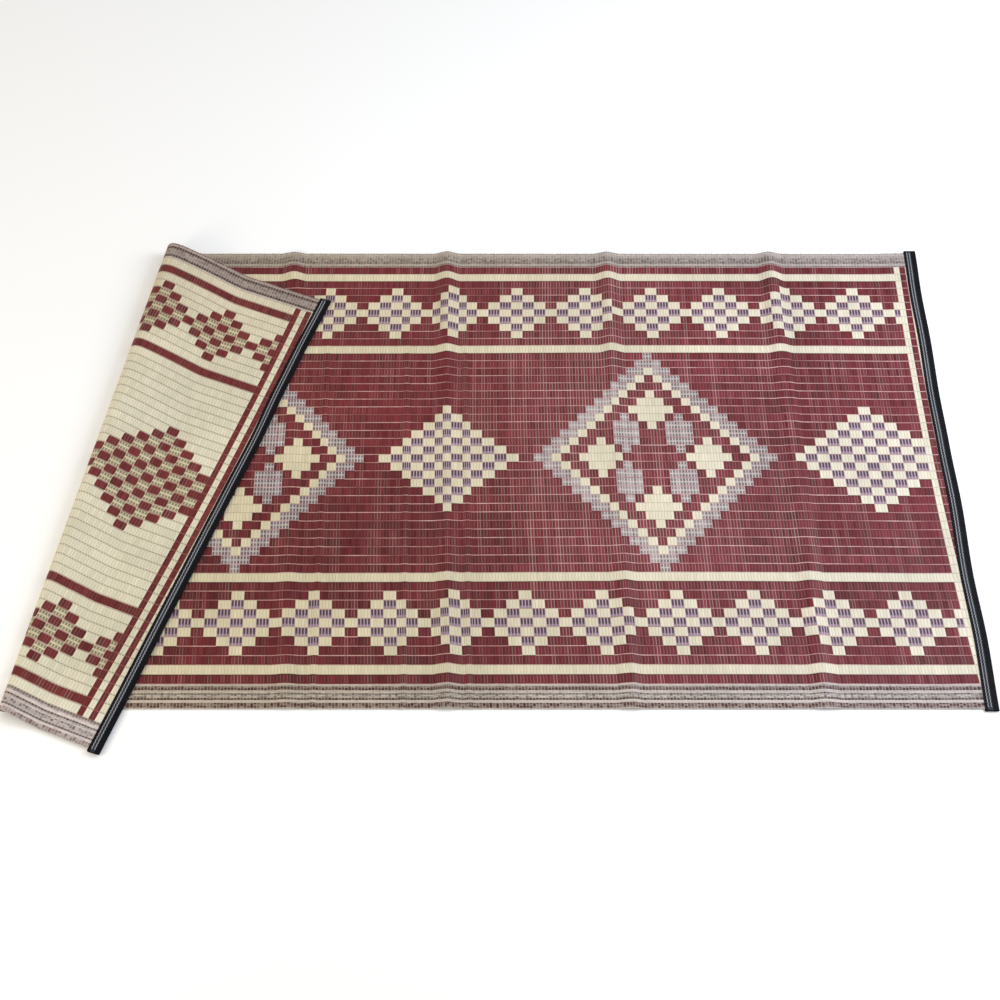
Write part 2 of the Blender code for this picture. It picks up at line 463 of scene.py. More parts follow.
NEAR_BAND = tuple(BandLine(*line) for line in (
    (0.0018, 0.80, 0.45, 0.30, 0.3),
    (0.0067, 0.16, 0.40, 0.50, 0.9),
    (0.0025, 0.16, 0.95, 0.50, 0.9),
    (0.0020, 1.00, 0.90, 0.10, 0.1),
    (0.0030, 1.00, 0.12, 0.10, 0.1),
    (0.0040, 0.08, 0.60, 0.34, 0.6),
    (0.0060, 0.58, 0.40, 0.60, 0.0),
    (0.0026, 0.20, 0.86, 0.50, 0.1),
    (0.0024, 0.84, 0.60, 0.30, 0.1),
    (0.0030, 0.84, 0.14, 0.30, 0.1),
    (0.0052, 0.06, 0.98, 0.30, 0.6),
    (0.0028, 0.34, 0.50, 0.50, 0.9),
    (0.0035, 0.84, 0.22, 0.14, 0.4),
))
FAR_BAND = tuple(BandLine(*line) for line in (
    (0.0035, 0.26, 0.90, 0.24, 0.7),
    (0.0055, 0.62, 0.06, 0.16, 0.1),
    (0.0060, 0.24, 0.48, 0.24, 0.3),
    (0.0085, 0.36, 0.44, 0.36, 0.4),
    (0.0055, 0.56, 0.04, 0.20, 0.4),
    (0.0050, 0.68, 0.56, 0.20, 0.8),
    (0.0025, 0.42, 0.20, 0.40, 0.8),
))


@dataclass
class Weave:
    """The draft of the cloth: what every straw shows in every row, and the row lines."""

    first_straw: int = -1
    last_straw: int = 346
    row_height: float = 0.018
    rows: int = 51
    cream_rows: tuple[int, ...] = (2, 12, 40, 50)
    border_rows: tuple[int, ...] = (7, 45)
    border_axis: int = 25
    border_repeat: int = 24
    border_cell: int = 4
    border_radius: int = 3
    centre_row: int = 26
    checkers: tuple[int, ...] = (27, 171, 315)
    checker_radius: int = 6
    rings: tuple[int, ...] = (98, 241)
    ring_cell: int = 3
    ring_radius: int = 11
    ring_blocks: int = 6
    ring_squares: int = 3
    block_radius: int = 2
    right_stripes: tuple[tuple[int, int, Kind], ...] = (
        (-1, 3, Kind.MAROON),
        (3, 5, Kind.CREAM),
        (5, 7, Kind.MAROON),
        (7, 9, Kind.CREAM),
    )
    left_stripes: tuple[tuple[int, int, Kind], ...] = (
        (333, 335, Kind.CREAM),
        (335, 337, Kind.MAROON),
        (337, 339, Kind.CREAM),
        (339, 346, Kind.MAROON),
    )
    seed: int = 27

    def straws(self) -> Array:
        """The number of every straw."""
        return np.arange(self.first_straw, self.last_straw)

    def lines(self) -> Array:
        """Straw numbers of the grid's columns: each valley and each crown."""
        return np.arange(2 * self.first_straw, 2 * self.last_straw + 1) / 2.0

    def kinds(self) -> Array:
        """What the cloth shows on its face.

        The borders are chequered diamonds that touch in a row, and the field has larger
        ones between its rings. Plain rows and the stripes at both ends cross them.

        Returns:
            The kind of each cell, as straws by rows.
        """
        straw = self.straws()[:, None]
        row = np.arange(1, self.rows + 1)[None, :]
        shown = np.full((straw.size, row.size), Kind.MAROON)
        half = self.border_repeat / 2
        offset = (straw + 0.5 - self.border_axis + half) % self.border_repeat - half
        for centre in self.border_rows:
            self.chequer(shown, offset, row - centre, self.border_radius, (Kind.BARRED, Kind.CREAM))
        up = row - self.centre_row
        for axis in self.checkers:
            offset = straw + 0.5 - axis
            self.chequer(shown, offset, up, self.checker_radius, (Kind.CREAM, Kind.BARRED))
        for first in self.rings:
            self.draw_ring(shown, (straw - first) // self.ring_cell, up)
        for cream in self.cream_rows:
            shown[:, cream - 1] = Kind.CREAM
        for start, stop, kind in self.right_stripes + self.left_stripes:
            shown[start - self.first_straw : stop - self.first_straw, :] = kind
        return shown

    def chequer(
        self, shown: Array, offset: Array, up: Array, radius: int, kinds: tuple[Kind, Kind]
    ) -> None:
        """Draws chequered diamonds: cells of two kinds by turns, out to a number of steps.

        Args:
            shown: what each straw shows in each row, which this changes.
            offset: each straw's distance from its diamond's axis, in straws.
            up: each row's distance from the middle row.
            radius: how many steps the diamond reaches.
            kinds: what its middle cell and the cells beside it show.
        """
        away = np.abs(np.floor(offset / self.border_cell + 0.5).astype(int)) + np.abs(up)
        for turn, kind in enumerate(kinds):
            shown[(away <= radius) & (away % 2 == turn)] = kind

    def draw_ring(self, shown: Array, cell: Array, up: Array) -> None:
        """Draws a diamond frame with four cream and four mingled blocks inside.

        Args:
            shown: what each straw shows in each row, which this changes.
            cell: each straw's distance from the ring's axis, in cells.
            up: each row's distance from the middle row.
        """
        away = np.abs(cell) + np.abs(up)
        shown[away == self.ring_radius] = Kind.CREAM
        shown[(away > self.ring_radius) & (away <= self.ring_radius + 2)] = Kind.MINGLED
        for sign in (-1, 1):
            upright = np.abs(cell) + np.abs(up - sign * self.ring_blocks)
            sideways = np.abs(cell - sign * self.ring_blocks) + np.abs(up)
            shown[np.minimum(upright, sideways) <= self.block_radius] = Kind.CREAM
            for other in (-1, 1):
                sidestep = np.abs(cell - sign * self.ring_squares)
                upstep = np.abs(up - other * self.ring_squares)
                block = (sidestep <= 1) & (upstep <= 1)
                shown[block | (sidestep == 0) & (upstep == self.block_radius)] = Kind.MINGLED

    def stations(self) -> tuple[Array, Array, Array]:
        """The grid's row stations, from the near edge to the far one.

        Returns:
            The distance of each from the near edge, which are crowns, and for each gap
            between two stations its row: 1 and up in the body, 0 and down in the near band,
            and past the last row in the far band.
        """
        near, far = ([line.width for line in band] for band in (NEAR_BAND, FAR_BAND))
        widths = np.array([*near, *[self.row_height] * self.rows, *far])
        places = np.concatenate(([0.0], np.cumsum(np.repeat(widths / 2, 2))))
        crowns = np.arange(places.size) % 2 == 1
        return places, crowns, np.repeat(np.arange(widths.size) + 1 - len(near), 2)


@dataclass(frozen=True)
class Wire:
    """What a node puts out. Sums, products and steps of a wire add nodes to its graph."""

    graph: "Graph"
    socket: bpy.types.NodeSocket

    def math(self, operation: str, *others: "Feed") -> "Wire":
        """One Math node on this wire and what follows it."""
        feeds = dict(enumerate((self, *others)))
        return self.graph.wire("ShaderNodeMath", feeds, operation=operation)

    def __add__(self, other: "Feed") -> "Wire":
        """The sum with another wire or a number."""
        return self.math("ADD", other)

    def __sub__(self, other: "Feed") -> "Wire":
        """This wire less another or a number."""
        return self.math("SUBTRACT", other)

    def __mul__(self, other: "Feed") -> "Wire":
        """The product with another wire or a number."""
        return self.math("MULTIPLY", other)

    def __pow__(self, exponent: float) -> "Wire":
        """A power of this wire."""
        return self.math("POWER", exponent)

    def inverse(self) -> "Wire":
        """1 less this wire."""
        return self.graph.wire("ShaderNodeMath", {0: 1.0, 1: self}, operation="SUBTRACT")

    def step(self, low: float, high: float) -> "Wire":
        """Smooth step from 0 at low to 1 at high."""
        feeds = {"Value": self, "From Min": low, "From Max": high}
        return self.graph.wire("ShaderNodeMapRange", feeds, interpolation_type="SMOOTHSTEP")

    def fade(self, low: float, high: float) -> "Wire":
        """Smooth step from 1 at low to 0 at high."""
        return self.step(low, high).inverse()

    def span(self, low: float, high: float) -> "Wire":
        """Straight line from low, where this wire is 0, to high, where it is 1."""
        return self.graph.wire("ShaderNodeMapRange", {"Value": self, "To Min": low, "To Max": high})

    def mix(self, first: "Feed", second: "Feed") -> "Wire":
        """The first colour where this wire is 0, and the second where it is 1."""
        feeds = {0: self, 6: first, 7: second}
        return self.graph.wire("ShaderNodeMix", feeds, 2, data_type="RGBA")

    def shade(self, colour: "Feed") -> "Wire":
        """A colour times this wire, which is its brightness."""
        feeds = {0: colour, "Scale": self}
        return self.graph.wire("ShaderNodeVectorMath", feeds, operation="SCALE")

    def tint(self, other: "Feed") -> "Wire":
        """The product of this colour or vector and another."""
        return self.graph.wire("ShaderNodeVectorMath", {0: self, 1: other}, operation="MULTIPLY")

    def noise(self, scale: "Feed", detail: float, dimensions: str = "3D") -> "Wire":
        """A cloudy noise, read at this place."""
        feeds = {"Vector": self, "Scale": scale, "Detail": detail}
        return self.graph.wire("ShaderNodeTexNoise", feeds, noise_dimensions=dimensions)

    def bump(self, distance: float, strength: float = 1.0) -> "Wire":
        """The normals of a relief whose height is this wire."""
        feeds = {"Height": self, "Distance": distance, "Strength": strength}
        return self.graph.wire("ShaderNodeBump", feeds)

    def parts(self, kind: str = "ShaderNodeSeparateXYZ") -> tuple["Wire", ...]:
        """The three parts of this vector or colour."""
        node = self.graph.node(kind, {0: self})
        return tuple(Wire(self.graph, output) for output in node.outputs)


Feed = Wire | float | Colour


class Graph:
    """Adds nodes to one node tree and wires them."""

    def __init__(self, tree: NodeTree) -> None:
        """Keeps the tree."""
        self.tree = tree

    def feed(self, socket: bpy.types.NodeSocket, value: Feed) -> None:
        """Links a wire to an input, or sets the input's own value.

        Args:
            socket: the input.
            value: a wire, a number, or a colour without its alpha.
        """
        if isinstance(value, Wire):
            self.tree.links.new(value.socket, socket)
        elif isinstance(value, tuple) and len(socket.default_value) == 4:
            socket.default_value = (*value, 1.0)
        else:
            socket.default_value = value

    def node(self, kind: str, feeds: dict[str | int, Feed], **settings: object) -> Node:
        """Adds a node.

        Args:
            kind: the node's type.
            feeds: what each input gets, by the input's name or number.
            settings: the node's own settings, made before its inputs are fed.

        Returns:
            The node.
        """
        node = self.tree.nodes.new(kind)
        for name, value in settings.items():
            setattr(node, name, value)
        for key, value in feeds.items():
            self.feed(node.inputs[key], value)
        return node

    def wire(
        self, kind: str, feeds: dict[str | int, Feed], output: str | int = 0, **settings: object
    ) -> Wire:
        """Adds a node and gives one of its outputs, by name or number."""
        return Wire(self, self.node(kind, feeds, **settings).outputs[output])

    def attribute(self, name: str) -> tuple[Wire, ...]:
        """The three channels of a colour attribute of the piece."""
        colour = self.wire("ShaderNodeAttribute", {}, "Color", attribute_name=name)
        return colour.parts("ShaderNodeSeparateColor")

    def map(self, name: str) -> Wire:
        """A UV map of the piece."""
        return self.wire("ShaderNodeUVMap", {}, uv_map=name)

    def place(self) -> Wire:
        """The place on the piece, in metres."""
        return self.wire("ShaderNodeTexCoord", {}, "Object")

    def group(self, tree: NodeTree, **feeds: Feed) -> dict[str, Wire]:
        """Places a node group.

        Args:
            tree: the group.
            feeds: what its inputs get, by name.

        Returns:
            Its outputs by name.
        """
        node = self.node("ShaderNodeGroup", {}, node_tree=tree)
        for name, value in feeds.items():
            self.feed(node.inputs[name], value)
        return {output.name: Wire(self, output) for output in node.outputs}


class Paint(Graph):
    """The graph of a new material."""

    def __init__(self, name: str) -> None:
        """Makes the material."""
        self.material = bpy.data.materials.new(name)
        self.material.use_nodes = True
        super().__init__(self.material.node_tree)

    def grained(self, groups: "Groups", place: Wire, finer: Pair) -> tuple[Wire, ...]:
        """The drawn grain's streaks and height, so many times finer across and along."""
        feeds = {"Place": place, "Across": finer[0], "Along": finer[1]}
        return tuple(self.group(groups.grain, **feeds).values())

    def handled(self, groups: "Groups", place: Wire, scales: Pair) -> tuple[Wire, ...]:
        """The clouds and the dust of handling, at these scales."""
        feeds = {"Place": place, "Large": scales[0], "Small": scales[1]}
        return tuple(self.group(groups.handling, **feeds).values())

    def finish(self, **feeds: Feed) -> Material:
        """Feeds the material's shader.

        Args:
            feeds: what the shader's inputs get, by name, with _ for a space.

        Returns:
            The material.
        """
        shader = self.tree.nodes["Principled BSDF"]
        for name, value in feeds.items():
            self.feed(shader.inputs[name.replace("_", " ")], value)
        return self.material


def new_group(
    name: str, inputs: dict[str, str], work: Callable[[dict[str, Wire]], dict[str, Wire]]
) -> NodeTree:
    """Makes a shader node group that puts out values.

    Args:
        name: the group's name.
        inputs: socket names and whether each is a Float or a Vector.
        work: works out the outputs by name from the inputs by name.

    Returns:
        The group.
    """
    tree = bpy.data.node_groups.new(name, "ShaderNodeTree")
    for key, kind in inputs.items():
        tree.interface.new_socket(name=key, in_out="INPUT", socket_type=f"NodeSocket{kind}")
    graph = Graph(tree)
    given = graph.node("NodeGroupInput", {})
    made = work({key: Wire(graph, given.outputs[key]) for key in inputs})
    for key in made:
        tree.interface.new_socket(name=key, in_out="OUTPUT", socket_type="NodeSocketFloat")
    graph.node("NodeGroupOutput", made)
    return tree


def straw_lines(given: dict[str, Wire]) -> dict[str, Wire]:
    """Where a point is inside its straw and its row: twice its distance from the middle.

    Args:
        given: Weave, the map that counts straws and rows.

    Returns:
        From crown, 0 on the straw's crown and 1 in the valley, Up row, 0 to 1 across the row,
        and From middle, 0 midway along the row and 1 at its threads.
    """
    straw, row = (axis.math("FRACT") for axis in given["Weave"].parts()[:2])
    crown, middle = ((inside - 0.5).math("ABSOLUTE") * 2.0 for inside in (straw, row))
    return {"From crown": crown, "Up row": row, "From middle": middle}


def drawn_grain(given: dict[str, Wire]) -> dict[str, Wire]:
    """Fine streaks along drawn plastic or twisted yarn: a noise finer across than along.

    Args:
        given: Place, and how many times finer the noise is Across it and Along it.

    Returns:
        Streak, from 0 to 1, and the plain noise as Height.
    """
    graph = given["Place"].graph
    finer = graph.wire("ShaderNodeCombineXYZ", {0: given["Across"], 1: given["Along"]})
    noise = given["Place"].tint(finer).noise(1.0, 3.0, "2D")
    return {"Streak": noise.step(0.3, 0.7), "Height": noise}


def handled(given: dict[str, Wire]) -> dict[str, Wire]:
    """Cloudy change of tone from handling and dust.

    Args:
        given: Place, and the scale of the Large clouds and of the Small ones.

    Returns:
        Cloud and Dust, each from 0 to 1.
    """
    large, small = (given["Place"].noise(given[size], 2.0) for size in ("Large", "Small"))
    return {"Cloud": large.step(0.35, 0.65), "Dust": small.step(0.5, 0.75)}


class Groups:
    """The node groups that the finishes share."""

    def __init__(self) -> None:
        """Makes each group once."""
        sizes = {"Place": "Vector", "Across": "Float", "Along": "Float"}
        self.lines = new_group("straw lines", {"Weave": "Vector"}, straw_lines)
        self.grain = new_group("drawn grain", sizes, drawn_grain)
        sizes = {"Place": "Vector", "Large": "Float", "Small": "Float"}
        self.handling = new_group("handling", sizes, handled)


@dataclass(frozen=True)
class Spot:
    """What the colours at a point of the cloth depend on, each from 0 to 1.

    These are its place in its straw and row, the grain, and its face's values: its cell, its
    depth of colour, how much the other layer shows, its thread or painted shadow line, corner,
    painted fold shade and band.
    """

    crown: Wire
    up: Wire
    middle: Wire
    streak: Wire
    height: Wire
    cream: Wire
    barred: Wire
    mingled: Wire
    tone: Wire
    pale: Wire
    thread: Wire
    cornered: Wire
    # turned: painted warm shade where the cloth turns over at the fold
    turned: Wire
    band: Wire
    band_pale: Wire
    band_warm: Wire
    valley: Wire

    @classmethod
    def read(cls, paint: Paint, groups: Groups, finer: Pair) -> "Spot":
        """Reads the piece's maps and face values.

        Args:
            paint: the material's graph.
            groups: the shared node groups.
            finer: how many times finer than a straw and than a row the grain is.

        Returns:
            The values as wires.
        """
        weave = paint.map("Weave")
        lines = paint.group(groups.lines, Weave=weave)
        grain = paint.grained(groups, weave, finer)
        cell, straw, corner, band = map(paint.attribute, ("cell", "straw", "corner", "band"))
        valley = lines["From crown"].step(0.6, 0.92)
        return cls(*lines.values(), *grain, *cell, *straw, *corner[:2], *band, valley)


@dataclass(frozen=True)
class StrawFinish:
    """Satin plastic straw in maroon and cream, as one side of the cloth shows it."""

    side: Side
    maroon: Colour = (0.190, 0.022, 0.034)
    maroon_deep: Colour = (0.085, 0.007, 0.011)
    # Painted shade in the gaps between maroon straws and in the shadow lines below paler cells.
    maroon_painted_shade: Colour = (0.022, 0.005, 0.007)
    paled: Colour = (0.54, 0.29, 0.33)
    paled_grey: Colour = (0.27, 0.25, 0.21)
    cream: Colour = (0.69, 0.635, 0.53)
    cream_gap: Colour = (0.44, 0.43, 0.30)
    blush: Colour = (0.56, 0.47, 0.42)
    lilac: Colour = (0.302, 0.206, 0.285)
    bar: Colour = (0.060, 0.028, 0.052)
    mingled: Colour = (0.25, 0.20, 0.215)
    mingled_bar: Colour = (0.120, 0.080, 0.092)
    pearl: Colour = (0.68, 0.62, 0.60)
    thread: Colour = (0.72, 0.46, 0.48)
    white: Colour = (1.0, 1.0, 1.0)
    # Yellower towards the folded end: partly the plastic's yellowing, partly painted warm light.
    yellowed_and_warm_light: Colour = (0.93, 0.89, 0.74)
    yellowing_and_warm_light_fade: Pair = (-0.5, 0.75)
    barred_keeps: float = 0.6
    mingled_keeps: float = 0.8
    # Painted light and shade across the mat, which only the reverse sets: brighter and bluer near,
    # darker and warmer far.
    near_painted_light: Colour = (1.0, 1.0, 1.0)
    middle_painted_light: Colour = (1.0, 1.0, 1.0)
    far_painted_shade: Colour = (1.0, 1.0, 1.0)
    near_light_fade: Pair = (-0.54, -0.38)
    far_shade_fade: Pair = (0.1, 0.48)
    # Painted warm shade where the cloth turns over at the fold.
    fold_shade_tint: Colour = (0.96, 0.78, 0.52)
    dotted_tint: Colour = (1.06, 0.98, 0.92)
    speckle: float = 0.0
    cream_thread: Colour = (0.27, 0.25, 0.17)
    cream_thread_share: float = 0.6
    thread_start: float = 0.86
    thread_width: float = 0.07
    band_dark: Colour = (0.045, 0.034, 0.032)
    band_brown: Colour = (0.075, 0.020, 0.018)
    band_pale: Colour = (0.56, 0.50, 0.49)
    dots: Colour = (0.16, 0.15, 0.075)
    roughness: Pair = (0.41, 0.53)
    dusty: float = 0.08
    specular: float = 0.22
    grain: Pair = (7.0, 0.8)
    handling: Pair = (5.0, 60.0)
    cloud_shades: Pair = (0.95, 1.05)
    bump: float = 0.0005
    bump_strength: float = 0.6

    def build(self, groups: Groups) -> Material:
        """The material for this side.

        Args:
            groups: the shared node groups.

        Returns:
            The material.
        """
        paint = Paint(f"woven straw {self.side.name.lower()}")
        at = Spot.read(paint, groups, self.grain)
        place = paint.place()
        cloud, dust = paint.handled(groups, place, self.handling)
        colour = cloud.span(*self.cloud_shades).shade(self.colour(at))
        return paint.finish(
            Base_Color=self.aged_and_painted_light(at, colour, place),
            Roughness=dust * self.dusty + at.streak.span(*self.roughness),
            Specular_IOR_Level=self.specular,
            Normal=self.relief(at).bump(self.bump, self.bump_strength),
        )

    def aged_and_painted_light(self, at: Spot, colour: Wire, place: Wire) -> Wire:
        """Yellower towards the folded end, partly the plastic's yellowing and partly painted warm light,
        but mauve and barred cells less.

        Args:
            at: the point's values.
            colour: the fresh colour.
            place: where the point is, along the mat and across it.

        Returns:
            The colour with its yellowing and painted warm light, and with the painted light and shade of
            the near, middle and far parts.
        """
        along, across, _ = place.parts()
        kept = at.barred * self.barred_keeps + at.mingled * self.mingled_keeps
        # yellower towards the folded end: yellowing with age and painted warm light
        share = along.fade(*self.yellowing_and_warm_light_fade) * kept.inverse()
        # painted light and shade across the mat, from the near edge to the far one
        tint = across.step(*self.near_light_fade).mix(self.near_painted_light, self.middle_painted_light)
        tint = across.step(*self.far_shade_fade).mix(tint, self.far_painted_shade)
        return colour.tint(share.mix(self.white, self.yellowed_and_warm_light)).tint(tint)

    def colour(self, at: Spot) -> Wire:
        """The colour of each kind of cell, then the threads between rows, then the bands, then a painted
        warm shade where the cloth turns over at the fold.

        Args:
            at: the point's values.

        Returns:
            The colour before its age.
        """
        other = self.barred_colour(at) if self.side is Side.FACE else self.dotted_colour(at)
        colour = at.cream.mix(self.maroon_colour(at), self.cream_colour(at))
        colour = at.mingled.mix(at.barred.mix(colour, other), self.mingled_colour(at))
        colour = self.threads(at, colour)
        if self.side is Side.REVERSE:
            colour = self.rounded(at, colour)
        colour = at.band.mix(colour, self.band_colour(at))
        # painted warm shade where the cloth turns over at the fold
        return at.turned.mix(colour, colour.tint(self.fold_shade_tint))

    def rounded(self, at: Spot, colour: Wire) -> Wire:
        """Takes the corners off maroon cells: cream shows where straw and row both end."""
        corner = (at.crown**3.0 + at.middle**3.0).step(0.95, 1.25)
        return (corner * at.cornered).mix(colour, self.cream)

    def maroon_colour(self, at: Spot) -> Wire:
        """Maroon straws of uneven depth.

        Most gaps are pale midway along a row and painted in shade at its ends. The palest run on
        from row to row.

        Args:
            at: the point's values.

        Returns:
            The cells' colour.
        """
        body = at.streak.span(0.8, 1.22).shade(at.tone.mix(self.maroon_deep, self.maroon))
        body = (at.pale * 0.05).mix(body, self.paled)
        # painted shade in the valleys towards the row's ends
        row_end_shade = at.middle.step(0.5, 0.85) * at.pale.fade(0.3, 0.9)
        body = (at.valley * row_end_shade * 0.7).mix(body, self.maroon_painted_shade)
        showing = at.valley * (row_end_shade * 0.7).inverse() * at.pale
        return showing.mix(body, at.tone.mix(self.paled_grey, self.paled))

    def cream_colour(self, at: Spot) -> Wire:
        """Cream straws, with faint lines between them that are olive or a blush."""
        body = at.streak.span(0.92, 1.09).shade(at.tone.span(0.89, 1.08).shade(self.cream))
        body = (at.streak * self.speckle).mix(body, self.blush)
        return (at.valley * 0.72).mix(body, at.tone.mix(self.cream_gap, self.blush))

    def barred_colour(self, at: Spot) -> Wire:
        """Lilac cells with a dark bar down each straw, from the far line to past the middle."""
        bars = at.up.step(0.24, 0.38) * at.crown.fade(0.45, 0.75)
        body = (at.valley * 0.4).mix(self.lilac, self.pearl)
        return (bars * 0.94).mix(at.tone.span(0.8, 1.15).shade(body), self.bar)

    def dotted_colour(self, at: Spot) -> Wire:
        """The barred cells' other side: cream with two dark dots on each straw."""
        body = at.tone.span(0.7, 0.95).shade(self.cream)
        body = (at.valley * 0.5).mix(body, self.cream_gap).tint(self.dotted_tint)
        return (self.pair(at, 0.22, 0.38, 0.5, 0.85) * 0.9).mix(body, self.dots)

    def mingled_colour(self, at: Spot) -> Wire:
        """Mauve-grey cells: two short dark bars on each straw, and white lines crossing.

        Args:
            at: the point's values.

        Returns:
            The cells' colour.
        """
        bars = self.pair(at, 0.16, 0.34, 0.3, 0.7) * at.pale.span(1.0, 0.2)
        body = (at.valley * 0.75).mix(self.mingled, self.pearl)
        body = (at.middle.fade(0.06, 0.24) * 0.4).mix(body, self.pearl)
        body = at.tone.span(0.78, 1.12).shade(body)
        return bars.mix((at.pale * 0.3).mix(body, self.pearl), self.mingled_bar)

    @staticmethod
    def pair(at: Spot, long: float, end: float, wide: float, side: float) -> Wire:
        """Two marks on each straw, a quarter of the row from its middle.

        Args:
            at: the point's values.
            long: how far along the straw each mark is whole, in half rows from its centre.
            end: how far it ends.
            wide: how far across the straw it is whole, in half straws from the crown.
            side: how far it ends.

        Returns:
            1 on the marks and 0 off them.
        """
        away = (at.middle - 0.5).math("ABSOLUTE")
        return away.fade(long, end) * at.crown.fade(wide, side)

    def threads(self, at: Spot, colour: Wire) -> Wire:
        """Warp threads between rows: dark to pink on maroon, a painted shadow line on maroon below a
        paler cell, and olive dashes on cream.

        Args:
            at: the point's values.
            colour: the cells' colour.

        Returns:
            The colour with the threads.
        """
        line = at.middle.step(self.thread_start, self.thread_start + self.thread_width)
        # a thread tone of 0 marks the painted shadow line below a paler cell
        outside_painted_shadow = at.thread.math("GREATER_THAN", 0.01)
        on_maroon = outside_painted_shadow.mix(self.maroon_painted_shade, at.thread.mix(self.maroon, self.thread))
        thread = at.cream.mix(on_maroon, self.cream_thread)
        dash = (at.crown.step(0.35, 0.8) * 0.88).inverse() * self.cream_thread_share
        share = at.cream.mix((0.9, 0.9, 0.9), dash)
        return (line * share).mix(colour, thread)

    def band_colour(self, at: Spot) -> Wire:
        """Edge bands: lines from dark taupe to pale grey-pink, dashed straw by straw."""
        dark = at.band_warm.mix(self.band_dark, self.band_brown)
        body = (at.valley * 0.4).mix(at.band_pale.mix(dark, self.band_pale), self.band_pale)
        return at.tone.span(0.88, 1.14).shade(body)

    def relief(self, at: Spot) -> Wire:
        """Height of a rounded straw, less a groove at each warp thread, plus the grain."""
        height = (at.crown**3.0 * 0.5).inverse() - at.middle.step(0.8, 1.0) * 0.5
        return height + at.height * 0.5


@dataclass(frozen=True)
class TapeFinish:
    """Black woven tape: a painted grey-blue sheen in a band along it, near-black beside it."""

    dark: Colour = (0.0035, 0.0035, 0.0055)
    # Painted sheen: the grey-blue that the band along the tape gets in its colour.
    sheen: Colour = (0.032, 0.034, 0.042)
    # pulled: where the painted sheen's band lies across the tape, in metres from the cloth side
    pulled: Pair = (0.0035, 0.0135)
    sheen_fade: float = 0.0015
    sheen_share: float = 0.85
    ribs: float = 700.0
    rib_share: float = 0.25
    grain: Pair = (900.0, 60.0)
    handling: Pair = (18.0, 140.0)
    streak_shades: Pair = (0.7, 1.35)
    cloud_shades: Pair = (0.9, 1.15)
    roughness: Pair = (0.6, 0.75)
    specular: float = 0.09
    bump: float = 0.0003
    bump_strength: float = 0.5

    def build(self, groups: Groups) -> Material:
        """The material, on the tape's own map.

        Args:
            groups: the shared node groups.

        Returns:
            The material. The map's u is metres across the tape and its v metres along it, so
            the ribs are a sine of v.
        """
        paint = Paint("black tape")
        tape = paint.map("Tape")
        across, along, _ = tape.parts()
        start, stop = self.pulled
        fade = self.sheen_fade
        sheen_zone = across.step(start, start + fade) * across.fade(stop - fade, stop)
        streak, height = paint.grained(groups, tape, self.grain)
        cloud, dust = paint.handled(groups, paint.place(), self.handling)
        # painted sheen in the band, near-black beside it
        colour = (sheen_zone * self.sheen_share).mix(self.dark, self.sheen)
        colour = streak.span(*self.streak_shades).shade(colour)
        ribs = (along * (2 * math.pi * self.ribs)).math("SINE")
        height = ribs * self.rib_share + height
        return paint.finish(
            Base_Color=cloud.span(*self.cloud_shades).shade(colour),
            Roughness=dust.span(*self.roughness),
            Specular_IOR_Level=self.specular,
            Normal=height.bump(self.bump, self.bump_strength),
        )


@dataclass(frozen=True)
class YarnFinish:
    """Pale grey sewing yarn, twisted and a little fuzzy."""

    colour: Colour = (0.40, 0.42, 0.47)
    streak_shades: Pair = (0.6, 1.2)
    grain: Pair = (6.0, 3.0)
    roughness: float = 0.7
    fuzz: float = 0.0002

    def build(self, groups: Groups) -> Material:
        """The material, on the stitches' own map: u round the yarn, v along it.

        Args:
            groups: the shared node groups.

        Returns:
            The material.
        """
        paint = Paint("sewing yarn")
        streak, height = paint.grained(groups, paint.map("Yarn"), self.grain)
        colour = streak.span(*self.streak_shades).shade(self.colour)
        return paint.finish(Base_Color=colour, Roughness=self.roughness, Normal=height.bump(self.fuzz))


def place_object(name: str, data: bpy.types.ID) -> Object:
    """Puts an object with this mesh, lamp or camera in the scene."""
    placed = bpy.data.objects.new(name, data)
    bpy.context.scene.collection.objects.link(placed)
    return placed


def smooth_mesh(name: str, points: Array, faces: list[list[int]]) -> Mesh:
    """Makes a mesh with smooth shading.

    Args:
        name: the mesh's name.
        points: its points, with x, y, z last.
        faces: the numbers of each face's corners.

    Returns:
        The mesh.
    """
    mesh = bpy.data.meshes.new(name)
    mesh.from_pydata(points.reshape(-1, 3).tolist(), [], faces)
    mesh.shade_smooth()
    return mesh


def grid_mesh(name: str, points: Array, closed: bool = False) -> Mesh:
    """Mesh of a grid of points.

    Args:
        name: the mesh's name.
        points: columns by rows by x, y, z. Faces point to the side from which the rows run
            up and the columns run leftwards.
        closed: joins the last row to the first, for a section that runs all the way round.

    Returns:
        The mesh, with its faces column by column.
    """
    columns, rows = points.shape[:2]
    index = np.arange(columns * rows).reshape(columns, rows)
    if closed:
        index = np.concatenate([index, index[:, :1]], axis=1)
    corners = (index[:-1, :-1], index[:-1, 1:], index[1:, 1:], index[1:, :-1])
    return smooth_mesh(name, points, np.stack(corners, axis=-1).reshape(-1, 4).tolist())


def face_colours(mesh: Mesh, name: str, channels: list[Array]) -> None:
    """Stores up to three values for each face as one colour attribute.

    Args:
        mesh: the mesh.
        name: the attribute's name.
        channels: the values, each in the order of the faces.
    """
    values = np.zeros((len(mesh.polygons), 4), dtype=np.float32)
    for place, channel in enumerate(channels):
        values[:, place] = channel.reshape(-1)
    layer = mesh.attributes.new(name, "FLOAT_COLOR", "FACE")
    layer.data.foreach_set("color", values.reshape(-1))


